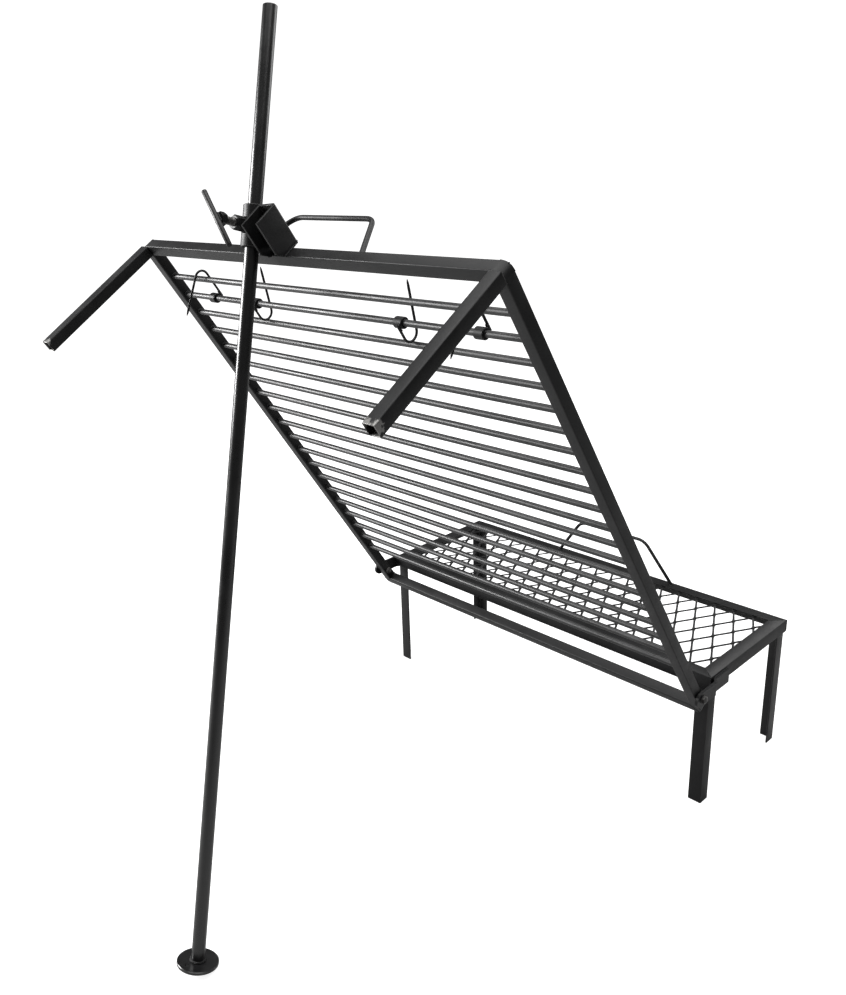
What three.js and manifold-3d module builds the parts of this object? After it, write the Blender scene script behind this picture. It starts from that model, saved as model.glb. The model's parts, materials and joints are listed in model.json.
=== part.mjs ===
// Folding campfire grill: a low grate on four legs, a barred panel hinged to its
// front edge, and a prop pole that slides and swings in a screw clamp on the panel.
// Millimetres, +Z up. The user stands on the -Y side.

import * as THREE from 'three';
import Module from 'manifold-3d';
import { mergeVertices } from 'three/addons/utils/BufferGeometryUtils.js';

const wasm = await Module();
wasm.setup();

// ---- driving sizes ---------------------------------------------------------

const GAP = 0.3;
const DEG = Math.PI / 180;

// Low grate, made of equal angle.
const GRATE_HALF_WIDTH = 395;
const GRATE_FRONT = 28;
const GRATE_BACK = 321;
const GRATE_TOP = 270;
const ANGLE_LEG = 25;
const ANGLE_WALL = 3;
const MESH_THICKNESS = 2.5;
const MESH_MARGIN = 6;
const CELL_WIDTH = 40;
const CELL_LENGTH = 80;
const STRAND = 4;

// Barred panel, made of square tube.
const TUBE = 20;
const TUBE_WALL = 1.5;
const PANEL_HALF_WIDTH = 400;
const PANEL_TOP = 954.9;
const PANEL_BOTTOM = -41.6;
const PANEL_LEAN = 33.17;
const HINGE_Y = -17.3;
const HINGE_Z = 252.4;
const BAR_RADIUS = 5;
const BAR_COUNT = 20;
const BAR_LOWEST = 94.9;
const BAR_PITCH = 41.4;
const ARM_LENGTH = 242;

// Pivots between the grate and the panel.
const BOLT_RADIUS = 4;
const BOLT_HOLE_RADIUS = 4.3;
const BOLT_HEAD_RADIUS = 7.5;
const LUG_THICKNESS = 5;

// Prop pole and its clamp.
const POLE_RADIUS = 10.65;
const POLE_BORE = 8;
const POLE_BELOW_CLAMP = 1114.6;
const POLE_ABOVE_CLAMP = 308;
const PLATE_RADIUS = 32.5;
const PLATE_THICKNESS = 5;
const PLATE_HOLE_RADIUS = 3.2;
const PLATE_HOLE_OFFSET = 21;
const CLAMP_X = -48.3;
const CLAMP_BEHIND = 2.9;
const CLAMP_ABOVE_PANEL = 40;
const CLAMP_TURN = 6.45;
const POLE_SWING = -48.33;
const SLEEVE_OUTER = 16.85;
const SLEEVE_INNER = 13.5;
const SLEEVE_LENGTH = 60;
const PIN_RADIUS = 6;
const SCREW_RADIUS = 6;
const SCREW_HOLE_RADIUS = 6.3;
const TEE_LENGTH = 102;
const TEE_ANGLE = 40;

// Hanging hooks on the second bar from the top.
const HOOK_BAR = 18;
const COLLAR_OUTER = 8.5;
const COLLAR_INNER = 6;
const COLLAR_LENGTH = 16;
const HOOK_WIRE = 2;
const HOOK_BEND = 12.8;
const HOOK_START = -4;
const HOOKS = [
  { x: -292, stem: 45, splay: 55, leg: 68, flipped: true },
  { x: -172, stem: 20, splay: 21, leg: 73, flipped: false },
  { x: 163.4, stem: 20, splay: 21, leg: 73, flipped: false },
  { x: 308.5, stem: 45, splay: 55, leg: 68, flipped: true },
];

// ---- finishes --------------------------------------------------------------

const blackPaint = { color: 0x1b1b1c, roughness: 0.42, metalness: 0.3 };
const dullPaint = { color: 0x202021, roughness: 0.6, metalness: 0.3 };
const wornSteel = { color: 0x4a4a4c, roughness: 0.45, metalness: 0.8 };

// ---- geometry helpers ------------------------------------------------------

function addPiece(parent, name, geometry, finish) {
  const piece = new THREE.Mesh(geometry, new THREE.MeshStandardMaterial(finish));
  piece.name = name;
  parent.add(piece);
  return piece;
}

function addGroup(parent, name) {
  const frame = new THREE.Group();
  frame.name = name;
  parent.add(frame);
  return frame;
}

function rectangle(x0, y0, x1, y1, Kind = THREE.Shape) {
  const outline = new Kind();
  outline.moveTo(x0, y0);
  outline.lineTo(x1, y0);
  outline.lineTo(x1, y1);
  outline.lineTo(x0, y1);
  outline.closePath();
  return outline;
}

function extrude(shape, depth, curveSegments = 12) {
  return new THREE.ExtrudeGeometry(shape, { depth, bevelEnabled: false, curveSegments });
}

// Moves the two ends of a straight extrusion inward by a slope times a profile coordinate.
function mitre(geometry, length, insetAt) {
  const points = geometry.attributes.position;
  for (let i = 0; i < points.count; i += 1) {
    const inset = insetAt(points.getX(i), points.getY(i));
    const atEnd = points.getZ(i) > length / 2;
    points.setZ(i, atEnd ? length - inset.end : inset.start);
  }
  geometry.computeVertexNormals();
  return geometry;
}

function squareTube(length) {
  const half = TUBE / 2;
  const bore = half - TUBE_WALL;
  const shape = rectangle(-half, -half, half, half);
  shape.holes.push(rectangle(-bore, -bore, bore, bore, THREE.Path));
  return extrude(shape, length);
}

// Square tube along local Z whose ends are both cut at 45 degrees towards local +X.
function mitredTube(length) {
  const clearance = GAP / Math.SQRT2;
  return mitre(squareTube(length), length, (x) => {
    const inset = x + TUBE / 2 + clearance;
    return { start: inset, end: inset };
  });
}

function angleProfile() {
  const shape = new THREE.Shape();
  shape.moveTo(0, 0);
  shape.lineTo(ANGLE_LEG, 0);
  shape.lineTo(ANGLE_LEG, ANGLE_WALL);
  shape.lineTo(ANGLE_WALL, ANGLE_WALL);
  shape.lineTo(ANGLE_WALL, ANGLE_LEG);
  shape.lineTo(0, ANGLE_LEG);
  shape.closePath();
  return shape;
}

function disc(radius, Kind = THREE.Shape) {
  const outline = new Kind();
  outline.absarc(0, 0, radius, 0, 2 * Math.PI, false);
  return outline;
}

function ring(outer, inner, length, curveSegments) {
  const shape = disc(outer);
  shape.holes.push(disc(inner, THREE.Path));
  return extrude(shape, length, curveSegments);
}

function hexagon(acrossFlats) {
  const radius = acrossFlats / Math.sqrt(3);
  const outline = new THREE.Shape();
  for (let i = 0; i < 6; i += 1) {
    const turn = (i * 60 + 30) * DEG;
    const x = radius * Math.cos(turn);
    const y = radius * Math.sin(turn);
    if (i === 0) outline.moveTo(x, y);
    else outline.lineTo(x, y);
  }
  outline.closePath();
  return outline;
}

// Round rod through a list of points, with each inner corner bent on a radius.
function bentRod(corners, radius, bend, steps) {
  const path = new THREE.CurvePath();
  let start = corners[0];
  for (let i = 1; i < corners.length - 1; i += 1) {
    const corner = corners[i];
    const before = start.clone().sub(corner).normalize().multiplyScalar(bend).add(corner);
    const after = corners[i + 1].clone().sub(corner).normalize().multiplyScalar(bend).add(corner);
    path.add(new THREE.LineCurve3(start, before));
    path.add(new THREE.QuadraticBezierCurve3(before, corner, after));
    start = after;
  }
  path.add(new THREE.LineCurve3(start, corners[corners.length - 1]));
  return new THREE.ExtrudeGeometry(disc(radius), {
    steps,
    extrudePath: path,
    bevelEnabled: false,
    curveSegments: 8,
  });
}

function toSolid(geometry) {
  const bare = geometry.index ? geometry.toNonIndexed() : geometry.clone();
  bare.deleteAttribute('normal');
  bare.deleteAttribute('uv');
  const merged = mergeVertices(bare, 1e-4);
  return new wasm.Manifold(new wasm.Mesh({
    numProp: 3,
    vertProperties: new Float32Array(merged.attributes.position.array),
    triVerts: new Uint32Array(merged.index.array),
  }));
}

function toGeometry(solid) {
  const mesh = solid.getMesh();
  const geometry = new THREE.BufferGeometry();
  geometry.setAttribute('position', new THREE.BufferAttribute(mesh.vertProperties, 3));
  geometry.setIndex(new THREE.BufferAttribute(mesh.triVerts, 1));
  const faceted = geometry.toNonIndexed();
  faceted.computeVertexNormals();
  return faceted;
}

function cut(geometry, tools) {
  let solid = toSolid(geometry);
  for (const tool of tools) {
    solid = solid.subtract(toSolid(tool));
  }
  return toGeometry(solid);
}

// Round drill along X, centred on the given point.
function drillAlongX(radius, length, x, y, z) {
  const drill = new THREE.CylinderGeometry(radius, radius, length, 24);
  drill.rotateZ(Math.PI / 2);
  drill.translate(x, y, z);
  return drill;
}

// ---- low grate -------------------------------------------------------------

const assembly = new THREE.Group();
assembly.name = 'folding_campfire_grill';
const grate = addGroup(assembly, 'low_grate');

function addRail(name, length, place) {
  const clearance = GAP / Math.SQRT2;
  const geometry = mitre(extrude(angleProfile(), length), length, (inward) => ({
    start: inward + clearance,
    end: inward + clearance,
  }));
  // Profile X is inward, profile Y is down, and the extrusion runs along the rail.
  const toRail = new THREE.Matrix4();
  toRail.makeBasis(place.inward, new THREE.Vector3(0, 0, -1), place.along);
  toRail.setPosition(place.corner);
  geometry.applyMatrix4(toRail);
  addPiece(grate, name, geometry, blackPaint);
}

const grateWidth = 2 * GRATE_HALF_WIDTH;
const grateDepth = GRATE_BACK - GRATE_FRONT;
const alongX = new THREE.Vector3(1, 0, 0);
const alongY = new THREE.Vector3(0, 1, 0);
addRail('front_rail', grateWidth, {
  inward: alongY,
  along: alongX.clone().negate(),
  corner: new THREE.Vector3(GRATE_HALF_WIDTH, GRATE_FRONT, GRATE_TOP),
});
addRail('rear_rail', grateWidth, {
  inward: alongY.clone().negate(),
  along: alongX,
  corner: new THREE.Vector3(-GRATE_HALF_WIDTH, GRATE_BACK, GRATE_TOP),
});
addRail('left_rail', grateDepth, {
  inward: alongX,
  along: alongY,
  corner: new THREE.Vector3(-GRATE_HALF_WIDTH, GRATE_FRONT, GRATE_TOP),
});
addRail('right_rail', grateDepth, {
  inward: alongX.clone().negate(),
  along: alongY.clone().negate(),
  corner: new THREE.Vector3(GRATE_HALF_WIDTH, GRATE_BACK, GRATE_TOP),
});

const meshTop = GRATE_TOP - ANGLE_WALL - GAP;
const meshBottom = meshTop - MESH_THICKNESS;

function buildMeshSheet() {
  const halfWidth = GRATE_HALF_WIDTH - MESH_MARGIN;
  const front = GRATE_FRONT + MESH_MARGIN;
  const back = GRATE_BACK - MESH_MARGIN;
  const sheet = rectangle(-halfWidth, front, halfWidth, back);
  const slope = CELL_LENGTH / CELL_WIDTH;
  const halfCellX = CELL_WIDTH / 2 - STRAND * Math.hypot(1, slope) / (2 * slope);
  const halfCellY = halfCellX * slope;
  const centreY = (GRATE_FRONT + GRATE_BACK) / 2;
  const rows = Math.ceil(grateDepth / CELL_LENGTH) + 1;
  const columns = Math.ceil(halfWidth / CELL_WIDTH) + 1;
  for (let row = -2 * rows; row <= 2 * rows; row += 1) {
    const y = centreY + row * CELL_LENGTH / 2;
    const shift = row % 2 === 0 ? 0 : CELL_WIDTH / 2;
    for (let column = -columns; column <= columns; column += 1) {
      const x = column * CELL_WIDTH + shift;
      const fitsAcross = Math.abs(x) + halfCellX < halfWidth - 2;
      const fitsAlong = y - halfCellY > front + 2 && y + halfCellY < back - 2;
      if (!fitsAcross || !fitsAlong) continue;
      const cell = new THREE.Path();
      cell.moveTo(x - halfCellX, y);
      cell.lineTo(x, y - halfCellY);
      cell.lineTo(x + halfCellX, y);
      cell.lineTo(x, y + halfCellY);
      cell.closePath();
      sheet.holes.push(cell);
    }
  }
  return extrude(sheet, MESH_THICKNESS).translate(0, 0, meshBottom);
}
addPiece(grate, 'grate_mesh', buildMeshSheet(), dullPaint);

const legInset = ANGLE_WALL + GAP;
const legHeight = meshBottom - GAP;
const legCorners = [
  { name: 'leg_front_left', x: -1, y: GRATE_FRONT + legInset, turn: 0 },
  { name: 'leg_front_right', x: 1, y: GRATE_FRONT + legInset, turn: 90 },
  { name: 'leg_back_right', x: 1, y: GRATE_BACK - legInset, turn: 180 },
  { name: 'leg_back_left', x: -1, y: GRATE_BACK - legInset, turn: 270 },
];
for (const corner of legCorners) {
  const leg = addPiece(grate, corner.name, extrude(angleProfile(), legHeight), blackPaint);
  leg.rotation.z = corner.turn * DEG;
  leg.position.set(corner.x * (GRATE_HALF_WIDTH - legInset), corner.y, 0);
}

const lowHandleY = GRATE_BACK - 10;
const lowHandleFoot = GRATE_TOP + 2.6;
const lowHandle = bentRod([
  new THREE.Vector3(-136, lowHandleY, lowHandleFoot),
  new THREE.Vector3(-80, lowHandleY, 352),
  new THREE.Vector3(84, lowHandleY, 352),
  new THREE.Vector3(153, lowHandleY, lowHandleFoot),
], 3.5, 14, 34);
addPiece(grate, 'grate_handle', lowHandle, blackPaint);

// Each lug is welded on the grate's end and cranked outward past the panel's side rail.
function buildLug() {
  const inner = GRATE_HALF_WIDTH + GAP;
  const outer = inner + LUG_THICKNESS;
  const crank = 5.7;
  const plan = new THREE.Shape();
  plan.moveTo(inner, 85);
  plan.lineTo(inner, 38);
  plan.lineTo(inner + crank, 28);
  plan.lineTo(inner + crank, -36);
  plan.lineTo(outer + crank, -36);
  plan.lineTo(outer + crank, 30);
  plan.lineTo(outer, 40);
  plan.lineTo(outer, 85);
  plan.closePath();
  const strap = extrude(plan, 26).translate(0, 0, 239);
  return cut(strap, [drillAlongX(BOLT_HOLE_RADIUS, 40, inner + 8, HINGE_Y, HINGE_Z)]);
}

// Mirrors a geometry across X and turns its triangles round, so that its faces still point out.
function mirrored(geometry) {
  const copy = geometry.index ? geometry.toNonIndexed() : geometry.clone();
  copy.scale(-1, 1, 1);
  const points = copy.attributes.position;
  for (let i = 0; i < points.count; i += 3) {
    const second = new THREE.Vector3().fromBufferAttribute(points, i + 1);
    const third = new THREE.Vector3().fromBufferAttribute(points, i + 2);
    points.setXYZ(i + 1, third.x, third.y, third.z);
    points.setXYZ(i + 2, second.x, second.y, second.z);
  }
  copy.deleteAttribute('uv');
  copy.computeVertexNormals();
  return copy;
}

// Bolt along +X, from its tip inside the panel's side rail to its head outside the lug.
function buildHingeBolt() {
  const tip = 376.5;
  const shank = 29.8;
  const headHeight = 5.5;
  const bolt = new THREE.LatheGeometry([
    new THREE.Vector2(0, 0),
    new THREE.Vector2(BOLT_RADIUS, 0),
    new THREE.Vector2(BOLT_RADIUS, shank),
    new THREE.Vector2(BOLT_HEAD_RADIUS, shank),
    new THREE.Vector2(BOLT_HEAD_RADIUS, shank + headHeight),
    new THREE.Vector2(0, shank + headHeight),
  ], 20);
  bolt.rotateZ(-Math.PI / 2);
  bolt.translate(tip, HINGE_Y, HINGE_Z);
  return bolt;
}

const rightLug = buildLug();
const rightBolt = buildHingeBolt();
addPiece(grate, 'hinge_lug_right', rightLug, blackPaint);
addPiece(grate, 'hinge_bolt_right', rightBolt, wornSteel);
addPiece(grate, 'hinge_lug_left', mirrored(rightLug), blackPaint);
addPiece(grate, 'hinge_bolt_left', mirrored(rightBolt), wornSteel);

// ---- barred panel ----------------------------------------------------------

// Panel frame: X across, Z up along the panel, Y out of its back, origin on the hinge.
const panel = addGroup(assembly, 'panel');
panel.position.set(0, HINGE_Y, HINGE_Z);
panel.rotation.x = PANEL_LEAN * DEG;

const railCentre = PANEL_HALF_WIDTH - TUBE / 2;
const topCentre = PANEL_TOP - TUBE / 2;
const panelHeight = PANEL_TOP - PANEL_BOTTOM;

function addPanelRail(name, length, basis, corner, tools = []) {
  const place = new THREE.Matrix4().makeBasis(basis.x, basis.y, basis.z);
  place.setPosition(corner);
  let geometry = mitredTube(length).applyMatrix4(place);
  if (tools.length > 0) geometry = cut(geometry, tools);
  addPiece(panel, name, geometry, blackPaint);
}

const unitX = new THREE.Vector3(1, 0, 0);
const unitY = new THREE.Vector3(0, 1, 0);
const unitZ = new THREE.Vector3(0, 0, 1);
const minusX = unitX.clone().negate();
const minusY = unitY.clone().negate();
const minusZ = unitZ.clone().negate();
const boltDrills = [drillAlongX(BOLT_HOLE_RADIUS, 900, 0, 0, 0)];
addPanelRail(
  'side_rail_left',
  panelHeight,
  { x: unitX, y: unitY, z: unitZ },
  new THREE.Vector3(-railCentre, 0, PANEL_BOTTOM),
  boltDrills,
);
addPanelRail(
  'side_rail_right',
  panelHeight,
  { x: minusX, y: minusY, z: unitZ },
  new THREE.Vector3(railCentre, 0, PANEL_BOTTOM),
  boltDrills,
);
addPanelRail(
  'top_rail',
  2 * PANEL_HALF_WIDTH,
  { x: minusZ, y: unitY, z: unitX },
  new THREE.Vector3(-PANEL_HALF_WIDTH, 0, topCentre),
);
addPanelRail(
  'bottom_rail',
  2 * PANEL_HALF_WIDTH,
  { x: unitZ, y: minusY, z: unitX },
  new THREE.Vector3(-PANEL_HALF_WIDTH, 0, PANEL_BOTTOM + TUBE / 2),
);

for (const [name, x] of [['arm_left', -railCentre], ['arm_right', railCentre]]) {
  const arm = squareTube(ARM_LENGTH);
  arm.rotateX(Math.PI / 2);
  arm.translate(x, -TUBE / 2 - GAP, topCentre);
  addPiece(panel, name, arm, blackPaint);
}

const barLength = 2 * (PANEL_HALF_WIDTH - TUBE - GAP);
for (let i = 0; i < BAR_COUNT; i += 1) {
  const bar = new THREE.CylinderGeometry(BAR_RADIUS, BAR_RADIUS, barLength, 16);
  bar.rotateZ(Math.PI / 2);
  bar.translate(0, 0, BAR_LOWEST + i * BAR_PITCH);
  addPiece(panel, `bar_${String(i + 1).padStart(2, '0')}`, bar, blackPaint);
}

const handleFoot = TUBE / 2 + 2.4;
const topHandle = bentRod([
  new THREE.Vector3(-112, handleFoot, topCentre),
  new THREE.Vector3(-70.5, 88, topCentre),
  new THREE.Vector3(100, 88, topCentre),
  new THREE.Vector3(142, handleFoot, topCentre),
], 4, 14, 34);
addPiece(panel, 'top_handle', topHandle, blackPaint);

// ---- clamp and pole --------------------------------------------------------

// Mount frame: origin where the clamp's pivot crosses the pole, X along the pivot.
const mount = addGroup(panel, 'clamp_mount');
mount.position.set(CLAMP_X, CLAMP_BEHIND, PANEL_TOP + CLAMP_ABOVE_PANEL);
mount.rotation.z = CLAMP_TURN * DEG;

function buildChannel() {
  const left = 19.3;
  const right = 54.3;
  const wall = 4;
  const front = -31;
  const back = 15;
  const low = GAP - CLAMP_ABOVE_PANEL;
  const high = 26;
  const plan = new THREE.Shape();
  plan.moveTo(left, front);
  plan.lineTo(left + wall, front);
  plan.lineTo(left + wall, back - wall);
  plan.lineTo(right - wall, back - wall);
  plan.lineTo(right - wall, front);
  plan.lineTo(right, front);
  plan.lineTo(right, back);
  plan.lineTo(left, back);
  plan.closePath();
  const channel = extrude(plan, high - low).translate(0, 0, low);
  const chamfer = new THREE.BoxGeometry(80, 60, 30);
  chamfer.rotateX(-45 * DEG);
  chamfer.translate(30, front - 4.6, low - 4.6);
  return cut(channel, [chamfer, drillAlongX(PIN_RADIUS + GAP, 12, left, 0, 0)]);
}
addPiece(mount, 'clamp_channel', buildChannel(), blackPaint);

// Clamp frame: Z up the pole, X along the pivot, the screw points along -Y.
const clamp = addGroup(mount, 'clamp');
clamp.rotation.x = POLE_SWING * DEG;

const alongScrew = new THREE.Matrix4().makeRotationX(Math.PI / 2);

function alongScrewAxis(geometry, from) {
  geometry.translate(0, 0, from);
  return geometry.applyMatrix4(alongScrew);
}

const screwDrill = new THREE.CylinderGeometry(SCREW_HOLE_RADIUS, SCREW_HOLE_RADIUS, 40, 24);
screwDrill.translate(0, -20, 0);
const sleeve = ring(SLEEVE_OUTER, SLEEVE_INNER, SLEEVE_LENGTH, 16);
sleeve.translate(0, 0, -SLEEVE_LENGTH / 2);
addPiece(clamp, 'sleeve', cut(sleeve, [screwDrill]), blackPaint);

const bossShape = hexagon(19);
bossShape.holes.push(disc(SCREW_HOLE_RADIUS, THREE.Path));
const boss = alongScrewAxis(extrude(bossShape, 20, 12), SLEEVE_OUTER + GAP);
addPiece(clamp, 'screw_boss', boss, blackPaint);

const pinProfile = [
  new THREE.Vector2(0, 0),
  new THREE.Vector2(9, 0),
  new THREE.Vector2(9, 1.7),
  new THREE.Vector2(PIN_RADIUS, 1.7),
  new THREE.Vector2(PIN_RADIUS, 20),
  new THREE.Vector2(0, 20),
];
const pin = new THREE.LatheGeometry(pinProfile, 20);
pin.rotateZ(-Math.PI / 2);
pin.translate(SLEEVE_OUTER + GAP, 0, 0);
addPiece(clamp, 'pivot_pin', pin, wornSteel);

const nutShape = hexagon(18);
nutShape.holes.push(disc(PIN_RADIUS + GAP, THREE.Path));
const nut = extrude(nutShape, 10, 10);
nut.rotateY(Math.PI / 2);
nut.translate(23.3 + GAP, 0, 0);
addPiece(clamp, 'pivot_nut', nut, wornSteel);

const pole = addGroup(clamp, 'pole_group');
const poleLength = POLE_BELOW_CLAMP + POLE_ABOVE_CLAMP;
const poleTube = ring(POLE_RADIUS, POLE_BORE, poleLength, 16);
poleTube.translate(0, 0, -POLE_BELOW_CLAMP);
addPiece(pole, 'pole', poleTube, blackPaint);

const plateShape = disc(PLATE_RADIUS);
const plateHole = new THREE.Path();
plateHole.absarc(0, -PLATE_HOLE_OFFSET, PLATE_HOLE_RADIUS, 0, 2 * Math.PI, false);
plateShape.holes.push(plateHole);
const plate = extrude(plateShape, PLATE_THICKNESS, 20);
plate.translate(0, 0, -POLE_BELOW_CLAMP - GAP - PLATE_THICKNESS);
addPiece(pole, 'foot_plate', plate, blackPaint);

const screwTip = POLE_RADIUS + GAP;
const screw = new THREE.LatheGeometry([
  new THREE.Vector2(0, screwTip),
  new THREE.Vector2(SCREW_RADIUS, screwTip),
  new THREE.Vector2(SCREW_RADIUS, 54),
  new THREE.Vector2(0, 54),
], 20);
screw.rotateX(Math.PI);
addPiece(clamp, 'clamp_screw', screw, wornSteel);

const head = alongScrewAxis(extrude(hexagon(18), 9), 54 + GAP);
addPiece(clamp, 'tee_head', head, blackPaint);

const tee = new THREE.CylinderGeometry(4, 4, TEE_LENGTH, 16);
tee.rotateX(Math.PI / 2);
tee.rotateY(-TEE_ANGLE * DEG);
tee.translate(0, -(54 + 2 * GAP + 9 + 4), 0);
addPiece(clamp, 'tee_bar', tee, blackPaint);

// ---- hanging hooks ---------------------------------------------------------

const hookBarHeight = BAR_LOWEST + HOOK_BAR * BAR_PITCH;
const wireOffset = COLLAR_OUTER + HOOK_WIRE + GAP;

// The wire lies in the local XY plane: out along X, round a bend, then a straight leg.
function buildHookWire(hook) {
  const turn = (180 - hook.splay) * DEG;
  const path = new THREE.CurvePath();
  const bendStart = new THREE.Vector3(hook.stem, -wireOffset, 0);
  path.add(new THREE.LineCurve3(new THREE.Vector3(HOOK_START, -wireOffset, 0), bendStart));
  const bendCentre = new THREE.Vector3(hook.stem, HOOK_BEND - wireOffset, 0);
  const parts = 8;
  let from = bendStart;
  for (let i = 1; i <= parts; i += 1) {
    const angle = -Math.PI / 2 + turn * i / parts;
    const to = new THREE.Vector3(Math.cos(angle), Math.sin(angle), 0);
    to.multiplyScalar(HOOK_BEND).add(bendCentre);
    path.add(new THREE.LineCurve3(from, to));
    from = to;
  }
  const tip = new THREE.Vector3(Math.cos(turn), Math.sin(turn), 0);
  tip.multiplyScalar(hook.leg).add(from);
  path.add(new THREE.LineCurve3(from, tip));
  return new THREE.ExtrudeGeometry(disc(HOOK_WIRE), {
    steps: 30,
    extrudePath: path,
    bevelEnabled: false,
    curveSegments: 5,
  });
}

HOOKS.forEach((hook, index) => {
  const collar = ring(COLLAR_OUTER, COLLAR_INNER, COLLAR_LENGTH, 12);
  collar.rotateY(Math.PI / 2);
  collar.translate(hook.x - COLLAR_LENGTH / 2, 0, hookBarHeight);
  addPiece(panel, `collar_${index + 1}`, collar, blackPaint);

  const wire = buildHookWire(hook);
  const place = new THREE.Matrix4();
  if (hook.flipped) place.makeBasis(unitZ, minusY, unitX);
  else place.makeBasis(minusZ, unitY, unitX);
  place.setPosition(hook.x + 5, 0, hookBarHeight);
  wire.applyMatrix4(place);
  addPiece(panel, `hook_${index + 1}`, wire, blackPaint);
});

// ---- origin at the middle of the footprint ---------------------------------

assembly.updateMatrixWorld(true);
const bounds = new THREE.Box3().setFromObject(assembly, true);
const middle = bounds.getCenter(new THREE.Vector3());
assembly.position.set(-middle.x, -middle.y, -bounds.min.z);
assembly.updateMatrixWorld(true);

export default assembly;
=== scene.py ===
"""Visual model of a folding campfire grill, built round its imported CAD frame."""

import json
import logging
import math
from dataclasses import dataclass, field
from enum import Enum
from typing import Callable, Optional, Sequence, Union

import bmesh
import bpy
from mathutils import Matrix, Vector


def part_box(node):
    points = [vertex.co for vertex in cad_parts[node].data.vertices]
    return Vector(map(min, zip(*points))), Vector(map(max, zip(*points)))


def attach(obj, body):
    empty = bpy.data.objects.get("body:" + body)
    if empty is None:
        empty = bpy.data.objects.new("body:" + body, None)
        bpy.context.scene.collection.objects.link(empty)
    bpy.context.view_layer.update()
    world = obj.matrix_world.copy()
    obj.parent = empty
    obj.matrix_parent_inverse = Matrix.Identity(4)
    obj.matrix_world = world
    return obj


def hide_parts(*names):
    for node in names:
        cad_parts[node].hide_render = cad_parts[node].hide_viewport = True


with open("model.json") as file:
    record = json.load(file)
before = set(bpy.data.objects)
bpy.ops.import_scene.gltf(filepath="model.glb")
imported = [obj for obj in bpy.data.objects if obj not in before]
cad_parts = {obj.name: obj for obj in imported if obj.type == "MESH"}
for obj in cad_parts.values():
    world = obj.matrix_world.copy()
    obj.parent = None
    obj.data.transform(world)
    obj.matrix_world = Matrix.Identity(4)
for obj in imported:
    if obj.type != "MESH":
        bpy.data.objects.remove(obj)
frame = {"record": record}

logging.basicConfig(level=logging.INFO, format="%(message)s")
LOG = logging.getLogger("grill")

Point2 = tuple[float, float]
Colour = tuple[float, float, float]


class Body(Enum):
    """Moving bodies of the frame that a piece can ride on."""

    GRATE = "grate"
    PANEL = "panel"
    CLAMP = "clamp"
    POLE = "pole"
    SCREW = "clamp_screw"
    TEE = "tee_handle"


# ---- node graphs -------------------------------------------------------------


class Sock:
    """A node socket that takes part in Python arithmetic."""

    def __init__(self, graph: "Graph", socket: bpy.types.NodeSocket) -> None:
        """Wraps one output socket of a graph."""
        self.graph = graph
        self.socket = socket

    def _with(self, operation: str, first: object, second: object) -> "Sock":
        """Adds one Math node on two operands and returns its result."""
        node = self.graph.add("ShaderNodeMath", {"operation": operation}, {0: first, 1: second})
        return Sock(self.graph, node.outputs[0])

    def __add__(self, other: object) -> "Sock":
        """Sum."""
        return self._with("ADD", self, other)

    def __radd__(self, other: object) -> "Sock":
        """Reflected sum."""
        return self._with("ADD", other, self)

    def __sub__(self, other: object) -> "Sock":
        """Difference."""
        return self._with("SUBTRACT", self, other)

    def __rsub__(self, other: object) -> "Sock":
        """Reflected difference."""
        return self._with("SUBTRACT", other, self)

    def __mul__(self, other: object) -> "Sock":
        """Product."""
        return self._with("MULTIPLY", self, other)

    def __rmul__(self, other: object) -> "Sock":
        """Reflected product."""
        return self._with("MULTIPLY", other, self)

    def __truediv__(self, other: object) -> "Sock":
        """Quotient."""
        return self._with("DIVIDE", self, other)

    def bigger(self, other: object) -> "Sock":
        """The larger of two values."""
        return self._with("MAXIMUM", self, other)

    def clamped(self) -> "Sock":
        """The value held between 0 and 1."""
        return self._with("MINIMUM", self._with("MAXIMUM", self, 0.0), 1.0)

    def step(self, low: float, high: float) -> "Sock":
        """A ramp from 0 at low to 1 at high, held flat outside.

        Args:
            low: Value where the ramp starts.
            high: Value where the ramp ends.

        Returns:
            The ramped value.
        """
        return ((self - low) / (high - low)).clamped()


class Graph:
    """Adds nodes to one node tree."""

    def __init__(self, tree: bpy.types.NodeTree) -> None:
        """Keeps the tree that nodes are added to."""
        self.tree = tree

    def add(
        self, kind: str, settings: Optional[dict] = None, inputs: Optional[dict] = None
    ) -> bpy.types.Node:
        """Adds a node, with its settings first and its inputs after them.

        Args:
            kind: Node type name.
            settings: Attribute values. The key "stops" fills a colour ramp.
            inputs: Input name or number to a value, a Sock or a socket.

        Returns:
            The new node.
        """
        node = self.tree.nodes.new(kind)
        for name, value in (settings or {}).items():
            if name == "stops":
                self._fill_ramp(node.color_ramp, value)
            else:
                setattr(node, name, value)
        for name, value in (inputs or {}).items():
            self.feed(node.inputs[name], value)
        return node

    def feed(self, target: bpy.types.NodeSocket, value: object) -> None:
        """Links or sets one input socket."""
        if isinstance(value, Sock):
            self.tree.links.new(value.socket, target)
        elif isinstance(value, bpy.types.NodeSocket):
            self.tree.links.new(value, target)
        else:
            target.default_value = value

    def value(self, node: bpy.types.Node, output: Union[int, str] = 0) -> Sock:
        """One output of a node as a Sock."""
        return Sock(self, node.outputs[output])

    @staticmethod
    def _fill_ramp(ramp: bpy.types.ColorRamp, stops: Sequence[tuple]) -> None:
        """Sets the stops of a colour ramp."""
        while len(ramp.elements) < len(stops):
            ramp.elements.new(1.0)
        for element, (position, colour) in zip(ramp.elements, stops):
            element.position = position
            element.color = (*colour, 1.0)


# ---- finishes ----------------------------------------------------------------


@dataclass(frozen=True)
class Chip:
    """A small spot where the paint is gone."""

    centre: tuple[float, float, float]
    radius: float


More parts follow.
